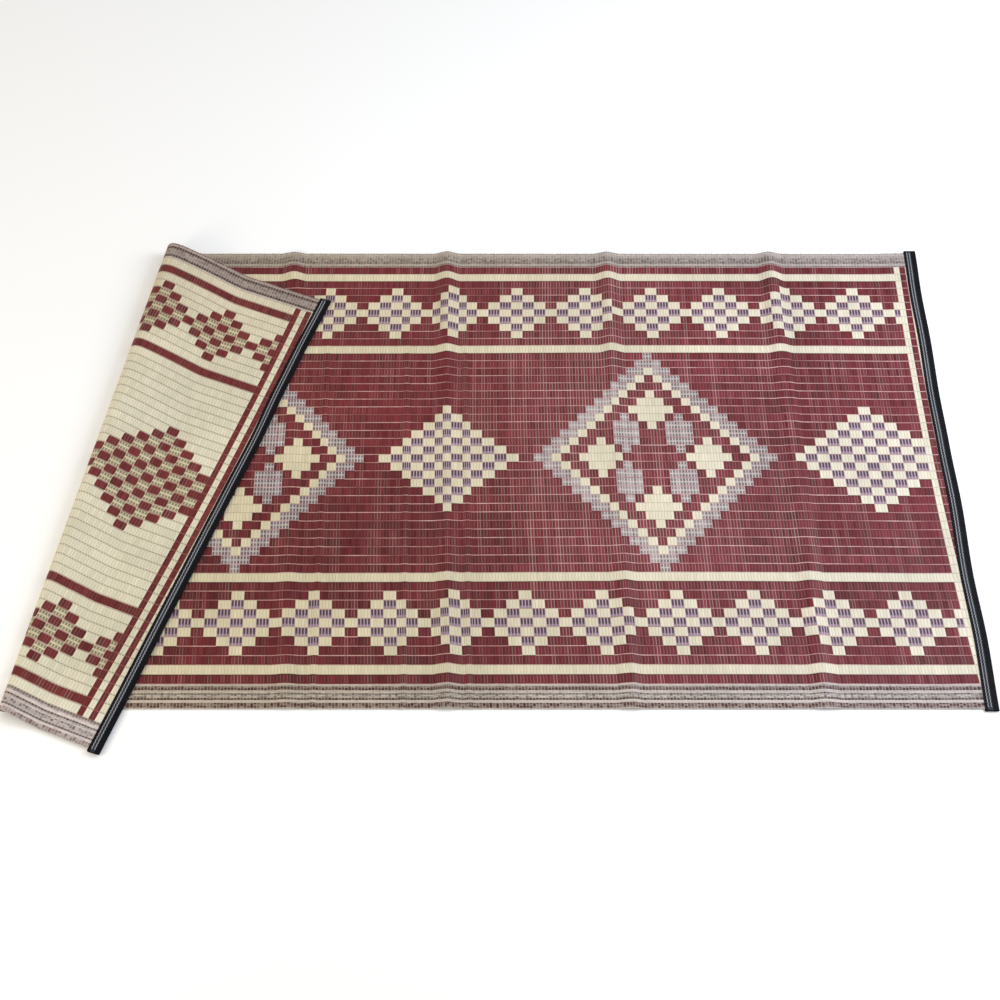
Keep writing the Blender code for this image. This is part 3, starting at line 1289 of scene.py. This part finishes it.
def map_corners(mesh: Mesh, name: str, u: Array, v: Array) -> None:
    """Adds a UV map, given u and v for each face's four corners, as faces by corners."""
    layer = mesh.uv_layers.new(name=name)
    values = np.stack([u.reshape(-1), v.reshape(-1)], axis=-1).astype(np.float32)
    layer.uv.foreach_set("vector", values.reshape(-1))


def corner_values(low: Array, high: Array, order: tuple[int, ...]) -> Array:
    """Gives each face's four corners its low value or its high one, by order (0 is low)."""
    return np.stack(np.broadcast_arrays(low, high), axis=-1)[..., list(order)]


def dress(mesh: Mesh, material: Material, slot: str, *nodes: str) -> Object:
    """Puts a finished piece in the scene, on its body and in place of its nodes.

    Args:
        mesh: the piece's mesh, whose name the piece takes.
        material: its finish.
        slot: not used.
        nodes: the CAD nodes that it replaces.

    Returns:
        The piece.
    """
    mesh.materials.append(material)
    piece = place_object(mesh.name, mesh)
    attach(piece, BODY)
    if nodes:
        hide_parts(*nodes)
    LOG.info("%s: %d triangles", mesh.name, sum(len(p.vertices) - 2 for p in mesh.polygons))
    return piece


@dataclass(frozen=True)
class WornPlace:
    """A place where the other layer shows: how much, where, and how far it reaches."""

    amount: float
    x: float
    reach: float
    row: float
    row_reach: float

    def amount_at(self, x: Array, row: Array) -> Array:
        """The amount at each place: a bell curve along the mat times one across it."""
        along, across = (x - self.x) / self.reach, (row - self.row) / self.row_reach
        return self.amount * np.exp(-(along**2) - across**2)


@dataclass
class StrawCloth:
    """The woven cloth: one relief surface for its face and one for its reverse."""

    lie: Lie
    run: StrawRun
    weave: Weave
    crown_rise: float = 0.0003
    straw_dip: float = 0.0007
    thread_dip: float = 0.0003
    uneven: float = 0.00015
    ragged: float = 0.0007
    hidden_step: float = 0.0004
    calm_start: float = 0.022
    calm_reach: float = 0.01
    worn: tuple[WornPlace, ...] = (
        WornPlace(0.38, -0.47, 0.20, 0.36, 0.12),
        WornPlace(0.50, -0.64, 0.16, 0.6, 0.35),
    )
    worn_far: float = 0.15
    fresh_right: float = 0.15
    fresh_left: float = 0.16
    pale_drop: float = 0.13
    tone_drop: float = 0.03
    deep_right: float = 0.16
    deep_left: float = 0.22
    straw_knots: tuple[int, int] = (7, 9)
    row_knots: int = 7
    thread_knots: int = 12
    thread_range: Pair = (0.65, 1.0)
    thread_low: float = 0.15
    stripe_threads: float = 0.12
    fold_shade_row: float = 0.72
    map_margin: float = 0.004
    flat_size: Pair = (1.0, 1.8)

    def __post_init__(self) -> None:
        """Works out the columns, the row stations and the middle surface."""
        self.random = np.random.default_rng(self.weave.seed)
        self.lines = self.weave.lines()
        self.places, self.crowns, self.row_of = self.weave.stations()
        self.on_crown = (np.arange(self.lines.size) % 2 == 1).astype(float)
        self.straws = self.lines.size // 2
        self.row_index = self.row_of - self.row_of.min()
        self.rows = int(self.row_index[-1]) + 1
        share = self.places / self.places[-1]
        self.along = self.column_places(share)
        self.share = share[None, :] + self.run.row_drift(self.along, share[None, :])
        self.share[:, 0] -= self.straw_ends()
        self.share[:, -1] += self.straw_ends()
        pleats = self.run.pleats(self.along, self.share)
        self.middle = self.lie.middle(self.along, self.share, pleats)
        self.normal = self.normals()

    def straw_ends(self) -> Array:
        """How far each straw's cut end stands past the last thread, its crown furthest."""
        return self.ragged * (self.on_crown * self.random.uniform(0.4, 1.6, self.lines.size) - 0.5)

    def column_places(self, share: Array) -> Array:
        """Place along the cloth of every straw line at every station.

        Lines that would run past the cloth's ends are gathered under the tapes, a small
        step apart.

        Args:
            share: each station's share of the width.

        Returns:
            The places, as lines by stations.
        """
        lie = self.lie
        rows = [self.run.places(self.lines, s, lie.length) for s in share]
        place = np.stack(rows, axis=1)
        place = place - lie.stretch(place, share[None, :])
        count = np.arange(self.lines.size)[:, None]
        right = -lie.tape_outer - self.hidden_step * count
        left = -lie.length + lie.tape_outer + self.hidden_step * (self.lines.size - 1 - count)
        return np.maximum(np.minimum(place, right), left)

    def normals(self) -> Array:
        """Unit normals of the middle surface: the cross product of its central differences."""
        normal = np.cross(np.gradient(self.middle, axis=1), np.gradient(self.middle, axis=0))
        return normal / np.linalg.norm(normal, axis=-1, keepdims=True)

    def surface(self, side: Side) -> Array:
        """Points of one side.

        From the middle surface along its normal by half the thickness, plus the crown's rise,
        less the dip between straws, less the dip at the threads on the crowns. The relief
        fades under the tapes, and both sides meet on the middle surface at the long edges.

        Args:
            side: face or reverse.

        Returns:
            The points, as lines by stations by x, y, z.
        """
        crown = self.on_crown[:, None]
        rise, sign = (self.crown_rise, 1.0) if side is Side.FACE else (0.0, -1.0)
        uneven = self.random.uniform(-self.uneven, 0.0, crown.shape)
        dips = self.straw_dip * (1 - crown) + self.thread_dip * ~self.crowns * crown
        inside = np.minimum(-self.along, self.along + self.lie.length)
        relief = (rise - dips + uneven * crown) * ease((inside - self.calm_start) / self.calm_reach)
        offset = self.lie.half + relief
        offset[:, [0, -1]] = 0.0
        points = self.middle + sign * offset[..., None] * self.normal
        points[..., 2] = np.maximum(points[..., 2], 0.0)
        return points

    def shown(self, side: Side) -> tuple[Array, Array]:
        """What each face of one side shows.

        Args:
            side: face or reverse, where maroon and cream change places.

        Returns:
            Each face's kind, and whether it is maroon with a paler cell above it on the face,
            which gets a painted shadow line, as half straws by half rows.
        """
        kinds = self.weave.kinds()
        if side is Side.REVERSE:
            kinds = np.choose(kinds, [Kind.CREAM, Kind.MAROON, Kind.BARRED, Kind.MINGLED])
        last = self.weave.rows - 1
        body = (self.row_of >= 1) & (self.row_of <= last + 1)
        inner = np.clip(self.row_of - 1, 0, last)
        kind = np.repeat(kinds[:, inner], 2, axis=0)
        kind[:, ~body] = Kind.BAND
        above = np.repeat(kinds[:, np.minimum(inner + 1, last)], 2, axis=0)
        # maroon faces below a paler cell get a painted shadow line
        under = (kind == Kind.MAROON) & (above != Kind.MAROON) & (side is Side.FACE)
        return kind, under

    def drift(self, count: int, every: int, across: int, low: float = 0.0) -> Array:
        """Random values that change slowly: straight lines between knots.

        Args:
            count: how many values each line of them has.
            every: how many values lie from one knot to the next.
            across: how many lines stand side by side.
            low: the lowest value. The highest is 1.

        Returns:
            The values, as count by across.
        """
        knots = self.random.uniform(low, 1.0, (count // every + 2, across))
        before, part = np.divmod(np.arange(count) / every, 1.0)
        before = before.astype(int)
        return knots[before] * (1 - part)[:, None] + knots[before + 1] * part[:, None]

    def spread(self, values: Array) -> Array:
        """Spreads values by straws and rows over the faces."""
        return np.repeat(values[:, self.row_index], 2, axis=0)

    def face_places(self) -> tuple[Array, Array]:
        """Each face's place along the cloth and its share of the width."""
        return self.along[:-1, :-1], self.share[:-1, :-1]

    def tones(self) -> Array:
        """Depth of colour of each face: its straw's own, its row's and a slow drift.

        The right end's part and the near left are deeper, by smooth steps.

        Returns:
            0 in the deepest maroon, 1 in the lightest.
        """
        own = self.random.uniform(0.0, 1.0, (self.straws, 1))
        each = self.random.uniform(0.0, 1.0, (self.straws, self.rows))
        drift = self.drift(self.straws, self.straw_knots[0], self.rows)
        tone = 0.2 * own + 0.5 * each + 0.4 * drift - self.tone_drop
        x, row = self.face_places()
        deep = self.deep_right * ease((x + 0.42) / 0.15)
        deep = deep + self.deep_left * ease((-0.68 - x) / 0.1) * (1.0 - ease((row - 0.3) / 0.3))
        return np.clip(self.spread(tone) - deep, 0.0, 1.0)

    def paleness(self) -> Array:
        """How much the other layer shows between maroon straws.

        Streaks, which are a straw's own value, a slow run from row to row, a value for each
        cell and a drift from straw to straw, and the worn places, which strengthen them.

        Returns:
            0 where nothing shows, up to 1, for each face.
        """
        x, row = self.face_places()
        worn = sum(place.amount_at(x, row) for place in self.worn)
        far = np.exp(-(((x + 0.65) / 0.25) ** 2)) * ease((row - 0.5) / 0.3)
        worn = worn + self.worn_far * far - self.fresh_right * ease((x + 0.40) / 0.2)
        worn = worn - self.fresh_left * ease((-0.70 - x) / 0.15)
        own = self.random.uniform(0.0, 1.0, (self.straws, 1))
        each = self.random.uniform(0.0, 1.0, (self.straws, self.rows))
        drift = self.drift(self.straws, self.straw_knots[1], self.rows)
        running = self.drift(self.rows, self.row_knots, self.straws).T
        streaks = self.spread(0.16 * own + running**3 + 0.20 * each**2 + 0.18 * drift)
        return np.clip(streaks - self.pale_drop + worn * (0.4 + streaks), 0.0, 1.0)

    def thread_tones(self, under: Array) -> Array:
        """How bright the warp thread beside each face is.

        Args:
            under: which faces have a paler cell above them.

        Returns:
            0 below a paler cell, where a painted shadow line takes the thread's place, and otherwise
            a value for each straw and thread times a slow drift along the thread.
        """
        threads = self.rows + 1
        each = self.random.uniform(*self.thread_range, (self.straws, threads))
        tones = each * self.drift(self.straws, self.thread_knots, threads, self.thread_low)
        upper = np.arange(self.row_of.size) % 2
        tones = np.repeat(tones[:, self.row_index + upper], 2, axis=0)
        # painted shadow line on the upper half of maroon faces below a paler cell
        return np.where(under & (upper == 1), 0.0, tones)

    def band_tones(self, side: Side) -> tuple[Array, Array]:
        """Paleness and warmth of the edge bands' faces, with a dash for each straw.

        Args:
            side: face or reverse, which have a paleness each.

        Returns:
            Both, by faces. They are 0 outside the bands.
        """
        pale, warm = np.zeros((2, 2 * self.straws, self.row_of.size))
        dashes = np.repeat(self.random.uniform(-0.5, 0.5, (self.straws, self.row_of.size)), 2, axis=0)
        for index, line in [*enumerate(NEAR_BAND), *enumerate(FAR_BAND, self.rows - len(FAR_BAND))]:
            here = self.row_index == index
            tone = line.pale if side is Side.FACE else line.back
            pale[:, here] = tone + line.dashed * dashes[:, here]
            warm[:, here] = line.warm
        return np.clip(pale, 0.0, 1.0), warm

    @staticmethod
    def cell_ends(kind: Array) -> Array:
        """Marks the faces of maroon cells whose neighbour along the mat shows another kind.

        Args:
            kind: what each face shows.

        Returns:
            The marks.
        """
        changes = kind[1:] != kind[:-1]
        ends = np.zeros(kind.shape, dtype=bool)
        ends[1:] |= changes
        ends[:-1] |= changes
        return ends & (kind == Kind.MAROON)

    def painted_fold_shade(self) -> Array:
        """Where a painted warm shade goes on the plastic as it bends over at the fold, most of all at
        its far corner.
        """
        steep = ease((0.8 - np.abs(self.normal[:-1, :-1, 2])) / 0.5)
        corner = 0.35 + 0.65 * ease((self.face_places()[1] - self.fold_shade_row) / 0.2)
        return steep * corner

    def build(self, side: Side, material: Material, *nodes: str) -> Object:
        """Makes one side as a piece.

        Args:
            side: face or reverse.
            material: that side's finish.
            nodes: the CAD nodes that it stands for.

        Returns:
            The piece.
        """
        flip = slice(None, None, 1 if side is Side.FACE else -1)
        mesh = grid_mesh(f"mat_{side.name.lower()}", self.surface(side)[:, flip])
        kind, under = self.shown(side)
        ends = self.cell_ends(kind)
        tones, pale = self.tones(), self.paleness()
        band = self.band_tones(side)
        threads = self.thread_tones(under)
        if side is Side.REVERSE:
            stripes = 2 * (self.weave.left_stripes[0][0] - self.weave.first_straw)
            ends[stripes:] = False
            threads[stripes:] *= self.stripe_threads
        cells = [kind == k for k in (Kind.CREAM, Kind.BARRED, Kind.MINGLED)]
        values = {
            "cell": cells,
            "straw": [tones, pale, threads],
            # the corner attribute's second channel is the painted warm shade at the fold
            "corner": [ends, self.painted_fold_shade()],
            "band": [kind == Kind.BAND, *band],
        }
        for name, channels in values.items():
            face_colours(mesh, name, [channel[:, flip] for channel in channels])
        self.map_weave(mesh, flip)
        self.crease_valleys(mesh)
        return dress(mesh, material, "woven_straw", *nodes)

    def map_weave(self, mesh: Mesh, flip: slice) -> None:
        """Adds the weave's own coordinates, and the flat layout that a bake can use.

        The weave map counts straws and rows. The flat map lays the two halves of the mat one
        above the other, so that they fill a square.

        Args:
            mesh: the side's mesh.
            flip: the order of its rows.
        """
        along = (0, 0, 1, 1)
        up = (0, 1, 1, 0) if flip.step == 1 else (1, 0, 0, 1)
        starts = np.repeat(self.lines[:-1, None], self.row_of.size, axis=1)
        row = self.row_of + 0.5 * (np.arange(self.row_of.size) % 2)
        row = np.repeat(row[None, flip], 2 * self.straws, axis=0)
        u = corner_values(starts, starts + 0.5, along)
        map_corners(mesh, "Weave", u, corner_values(row, row + 0.5, up))
        half = (self.lines[-1] - self.lines[0]) / 2
        upper = (starts >= self.lines[0] + half).astype(float)
        u = (u - self.lines[0]) / half - upper[..., None]
        share = self.places / self.places[-1]
        v = corner_values(share[:-1][flip], share[1:][flip], up)
        v = self.inset(v[None], 0.5) + 0.5 * upper[..., None]
        map_corners(mesh, "OFBake", self.inset(u, 1.0), v)

    def inset(self, value: Array, size: float) -> Array:
        """Fits values from 0 to 1 in a space of the flat map, in from its edges by the margin."""
        return self.map_margin + (size - 2 * self.map_margin) * value

    def crease_valleys(self, mesh: Mesh) -> None:
        """Marks the lines between straws and between rows as sharp, so that straws look round.

        Args:
            mesh: the side's mesh.
        """
        ends = np.empty(len(mesh.edges) * 2, dtype=np.int32)
        mesh.edges.foreach_get("vertices", ends)
        column, row = np.divmod(ends.reshape(-1, 2), self.crowns.size)
        between_straws = (column[:, 0] == column[:, 1]) & (column[:, 0] % 2 == 0)
        between_rows = (row[:, 0] == row[:, 1]) & ~self.crowns[row[:, 0]]
        layer = mesh.attributes.new("sharp_edge", "BOOLEAN", "EDGE")
        layer.data.foreach_set("value", between_straws | between_rows)


@dataclass
class EndTape:
    """A black tape folded over one end of the mat, with its sewing."""

    name: str
    places: Array
    inward: Array
    leg: float = 0.021
    outer: float = 0.0021
    inner: float = 0.0013
    step: float = 0.0012
    leg_points: int = 34
    nose_points: int = 9
    under_points: int = 8
    hem: float = 0.00022
    hem_reach: float = 0.0016
    pillow: float = 0.00012
    seams: Values = (0.0058, 0.0108)
    seam_dip: float = 0.0002
    seam_reach: float = 0.0018
    sharp_angle: float = math.radians(50)
    stitch: float = 0.0062
    stitch_width: float = 0.0013
    stitch_sides: int = 6
    stitch_rings: int = 7
    stitch_lean: float = 0.0011
    stitch_share: float = 0.30
    stitch_flatness: float = 0.62
    stitch_blunt: float = 1.04
    stitch_clear: float = 0.0001

    def __post_init__(self) -> None:
        """Spreads the end's places into even stations along it."""
        gaps = np.linalg.norm(np.diff(self.places, axis=0), axis=1)
        self.reached = np.concatenate(([0.0], np.cumsum(gaps)))
        count = int(round(self.reached[-1] / self.step)) + 1
        self.stations = np.linspace(0.0, self.reached[-1], count)

    def line(self, at: Array) -> Array:
        """Outer edge of the tape at these distances along it."""
        axes = [np.interp(at, self.reached, axis) for axis in self.places.T]
        return np.stack(axes, axis=-1)

    def nose(self, radius: float, start: float, turn: float) -> tuple[Array, Array]:
        """Half a circle round the cloth's edge, without its ends, as ways in and heights."""
        turns = start + turn * np.arange(1, self.nose_points) / self.nose_points
        return self.outer + radius * np.cos(turns), radius * np.sin(turns)

    def profile(self) -> tuple[Array, Array]:
        """Section of the tape, all the way round from its edge on the cloth.

        The upper leg is flat, plus half a sine wave's pillow, plus a raised cosine for its
        hem, less a raised cosine for each seam. Half circles join it to the lower leg.

        Returns:
            The way in from the outer edge, and the height from the cloth's middle.
        """
        upper = np.linspace(self.leg, self.outer, self.leg_points)
        from_edge = self.leg - upper
        top = self.outer + self.hem * hump(from_edge - self.hem_reach / 2, self.hem_reach)
        top = top + self.pillow * np.sin(math.pi * from_edge / self.leg)
        for seam in self.seams:
            top = top - self.seam_dip * hump(from_edge - seam, self.seam_reach)
        under = np.linspace(self.outer, self.leg, self.under_points)
        level = np.ones(self.under_points)
        runs = (
            (upper, top),
            self.nose(self.outer, math.pi / 2, math.pi),
            (under, -self.outer * level),
            (under[::-1], -self.inner * level),
            self.nose(self.inner, 3 * math.pi / 2, -math.pi),
            (under, self.inner * level),
        )
        way, height = (np.concatenate(values) for values in zip(*runs))
        return way, height

    def build(self, material: Material) -> Object:
        """The tape: its section carried along the end, with both cut ends closed.

        Args:
            material: the tape's finish.

        Returns:
            The piece, which stands for this end's binding.
        """
        way, height = self.profile()
        points = self.line(self.stations)[:, None] + way[:, None] * self.inward
        points[..., 2] += height
        ends = [self.wall_middle(ring)[None] for ring in (points[0], points[-1])]
        mesh = grid_mesh(f"tape_{self.name}", np.concatenate([ends[0], points, ends[1]]), closed=True)
        self.map_tape(mesh, way, height)
        mesh.set_sharp_from_angle(angle=self.sharp_angle)
        return dress(mesh, material, "black_tape", f"binding_{self.name}")

    def wall_middle(self, ring: Array) -> Array:
        """The middle of the wall at each point of a ring, which closes a cut end.

        It is halfway from the point to its partner, at the same share of the wall's other
        side.

        Args:
            ring: the section at a cut end, as points by x, y, z.

        Returns:
            The middles, in the same order.
        """
        outer = self.leg_points + self.nose_points - 1 + self.under_points
        there = np.linspace(0.0, 1.0, outer)
        back = np.linspace(0.0, 1.0, len(ring) - outer)
        inside = [np.interp(there, back, axis) for axis in ring[outer:][::-1].T]
        outside = [np.interp(back[::-1], there, axis) for axis in ring[:outer].T]
        return (ring + np.concatenate([np.stack(inside, axis=-1), np.stack(outside, axis=-1)])) / 2

    def map_tape(self, mesh: Mesh, way: Array, height: Array) -> None:
        """Adds the tape's own map, in metres: across it from the cloth side, and along it.

        Args:
            mesh: the tape's mesh.
            way: the section's ways in, which give the distance across it together with
            height: the section's heights.
        """
        steps = np.hypot(np.diff(way), np.diff(height))
        across = np.concatenate(([0.0], np.cumsum(steps), [steps.sum() + steps[0]]))
        along = np.concatenate([self.stations[:1], self.stations, self.stations[-1:]])[:, None]
        low, high, start, stop = np.broadcast_arrays(across[:-1], across[1:], along[:-1], along[1:])
        u = corner_values(low, high, (0, 1, 1, 0))
        map_corners(mesh, "Tape", u, corner_values(start, stop, (0, 0, 1, 1)))

    def sew(self, material: Material) -> Object:
        """The stitches on the upper leg: short leaning loops of yarn, two lines of them.

        Args:
            material: the yarn's finish.

        Returns:
            The piece.
        """
        count = int(self.reached[-1] / self.stitch) - 1
        start = (self.reached[-1] - count * self.stitch) / 2
        middles = start + self.stitch * (np.arange(count) + 0.5)
        rows = [self.stitch_row(seam, middles, lean) for seam in self.seams for lean in (-1, 1)]
        return self.stitch_piece(np.concatenate(rows), material)

    def stitch_row(self, seam: float, middles: Array, lean: int) -> Array:
        """Half of one seam's stitches, which lean one way.

        Each stitch is a tube of a few rings whose radius is the root of a parabola, so that
        it is round at both ends.

        Args:
            seam: the seam's distance from the tape's edge on the cloth.
            middles: distances along the tape, midway between the seam's stitches.
            lean: -1 or 1, the way that they lean.

        Returns:
            The points, as stitches by rings by sides by x, y, z.
        """
        t = np.linspace(-1.0, 1.0, self.stitch_rings)[:, None]
        turn = 2 * math.pi * np.arange(self.stitch_sides)[:, None] / self.stitch_sides
        radius = self.stitch_width / 2 * np.sqrt(np.clip(self.stitch_blunt - t**2, 0.0, 1.0))
        forward = np.cross(UP, self.inward)
        way = self.leg - seam + lean * self.stitch_lean / 4
        base = self.line(middles + lean * self.stitch / 4) + self.inward * way
        base = base + UP * (self.outer + self.stitch_clear)
        leaning = self.inward * lean * self.stitch_lean / 2
        spine = t * (forward * self.stitch * self.stitch_share + leaning)
        rim = np.cos(turn) * self.inward + self.stitch_flatness * np.sin(turn) * UP
        return base[:, None, None] + spine[:, None] + radius[:, None] * rim

    def stitch_piece(self, points: Array, material: Material) -> Object:
        """Joins the stitches into one piece, each closed at both ends by a small cap.

        Args:
            points: stitches by rings by sides by x, y, z.
            material: the yarn's finish.

        Returns:
            The piece.
        """
        stitches, rings, sides = points.shape[:3]
        index = np.arange(stitches * rings * sides).reshape(stitches, rings, sides)
        after = np.roll(index, -1, axis=2)
        corners = (index[:, :-1], index[:, 1:], after[:, 1:], after[:, :-1])
        quads = np.stack(corners, axis=-1).reshape(-1, 4).tolist()
        caps = index[:, 0, :].tolist() + index[:, -1, ::-1].tolist()
        mesh = smooth_mesh(f"stitches_{self.name}", points, quads + caps)
        mesh.validate()
        loops = np.empty(len(mesh.loops), dtype=np.int32)
        mesh.loops.foreach_get("vertex_index", loops)
        side, ring = loops % sides, loops // sides % rings
        map_corners(mesh, "Yarn", side / sides, ring / (rings - 1))
        return dress(mesh, material, "black_tape")


@dataclass(frozen=True)
class Lamp:
    """A square soft lamp that faces the middle of the mat."""

    name: str
    place: tuple[float, float, float]
    size: float
    power: float
    tint: Colour

    def build(self) -> None:
        """Puts the lamp in the scene and turns it towards the mat."""
        light = bpy.data.lights.new(self.name, "AREA")
        light.size = self.size
        light.energy = self.power
        light.color = self.tint
        lamp = place_object(self.name, light)
        lamp.location = self.place
        x, y, z = self.place
        lamp.rotation_euler = (math.acos(z / math.hypot(x, y, z)), 0.0, math.atan2(x, -y))


@dataclass
class Studio:
    """Pale floor, plain soft light and a camera at the photograph's angle."""

    lie: Lie
    focal_share: float = 1.9115
    sensor: float = 36.0
    pitch: float = math.radians(53.27)
    place: tuple[float, float, float] = (-0.7906, -1.5523, 2.6374)
    floor_size: float = 14.0
    floor_drop: float = 0.0004
    floor_colour: Colour = (0.96, 0.97, 1.0)
    floor_shade: float = 0.99
    floor_clouds: float = 3.0
    sky: float = 0.70
    sky_colour: Colour = (1.0, 0.985, 0.95)
    lamps: tuple[Lamp, ...] = (
        Lamp("key", (1.5, 0.3, 1.4), 1.3, 28.0, (0.86, 0.93, 1.0)),
        Lamp("side", (-1.9, 0.6, 1.6), 1.4, 4.0, (1.0, 0.82, 0.5)),
        Lamp("low", (-2.0, -1.3, 0.85), 0.7, 16.0, (1.0, 0.88, 0.66)),
    )

    def build(self) -> None:
        """Sets up the floor, the light and the camera."""
        self.make_floor()
        self.make_world()
        for lamp in self.lamps:
            lamp.build()
        self.make_camera()
        bpy.context.scene.view_settings.view_transform = "Standard"
        bpy.context.scene.view_settings.look = "None"

    def make_floor(self) -> None:
        """A pale floor just under the mat, with faint clouds."""
        half = self.floor_size / 2
        corners = half * np.array([(-1, -1, 0), (1, -1, 0), (1, 1, 0), (-1, 1, 0)])
        mesh = smooth_mesh("floor", corners - UP * self.floor_drop, [[0, 1, 2, 3]])
        paint = Paint("pale floor")
        shaded = tuple(self.floor_shade * c for c in self.floor_colour)
        clouds = paint.place().noise(self.floor_clouds, 2.0)
        colour = clouds.mix(shaded, self.floor_colour)
        mesh.materials.append(paint.finish(Base_Color=colour, Roughness=0.9, Specular_IOR_Level=0.1))
        floor = place_object("floor", mesh)

    def make_world(self) -> None:
        """Even white surroundings."""
        world = bpy.data.worlds.new("white room")
        world.use_nodes = True
        background = world.node_tree.nodes["Background"]
        background.inputs["Color"].default_value = (*self.sky_colour, 1.0)
        background.inputs["Strength"].default_value = self.sky
        bpy.context.scene.world = world

    def make_camera(self) -> None:
        """The camera, from the photograph's perspective."""
        data = bpy.data.cameras.new("camera")
        data.sensor_width = self.sensor
        data.lens = self.focal_share * self.sensor
        camera = place_object("camera", data)
        camera.location = np.array(self.place) + self.lie.shift
        camera.rotation_euler = (math.pi / 2 - self.pitch, 0.0, 0.0)
        bpy.context.scene.camera = camera


def reverse_finish() -> StrawFinish:
    """The finish of the reverse.

    Returns:
        The face's finish with the reverse's own colours.
    """
    return StrawFinish(
        Side.REVERSE,
        cream=(0.675, 0.66, 0.48),
        yellowed_and_warm_light=(1.0, 1.0, 1.0),
        maroon=(0.176, 0.0245, 0.0225),
        maroon_deep=(0.092, 0.010, 0.0095),
        paled=(0.26, 0.090, 0.080),
        thread=(0.52, 0.42, 0.34),
        thread_start=0.80,
        cream_thread=(0.31, 0.29, 0.20),
        cream_thread_share=0.95,
        band_pale=(0.56, 0.50, 0.44),
        # painted light and shade: brighter and bluer near, darker and warmer far
        near_painted_light=(1.14, 1.14, 1.30),
        middle_painted_light=(1.02, 0.99, 1.04),
        far_painted_shade=(0.915, 0.85, 0.855),
        speckle=0.12,
    )


def main() -> None:
    """Builds the cloth, its tapes and the studio."""
    logging.basicConfig(level=logging.INFO, format="%(name)s: %(message)s")
    groups = Groups()
    lie = Lie()
    cloth = StrawCloth(lie, StrawRun(), Weave())
    face = cloth.build(Side.FACE, StrawFinish(Side.FACE).build(groups), "mat")
    reverse = cloth.build(Side.REVERSE, reverse_finish().build(groups))
    black, yarn = TapeFinish().build(groups), YarnFinish().build(groups)
    inward = np.cross(UP, [*lie.flap_side(), 0.0])
    right = EndTape("right", lie.right_end(), np.array([-1.0, 0.0, 0.0]), 0.0227, seams=(0.0053, 0.0102))
    left = EndTape("left", lie.left_end(), inward)
    fittings = []
    for tape in (right, left):
        fittings += [tape.build(black), tape.sew(yarn)]
    Studio(lie).build()


if __name__ == "__main__":
    main()
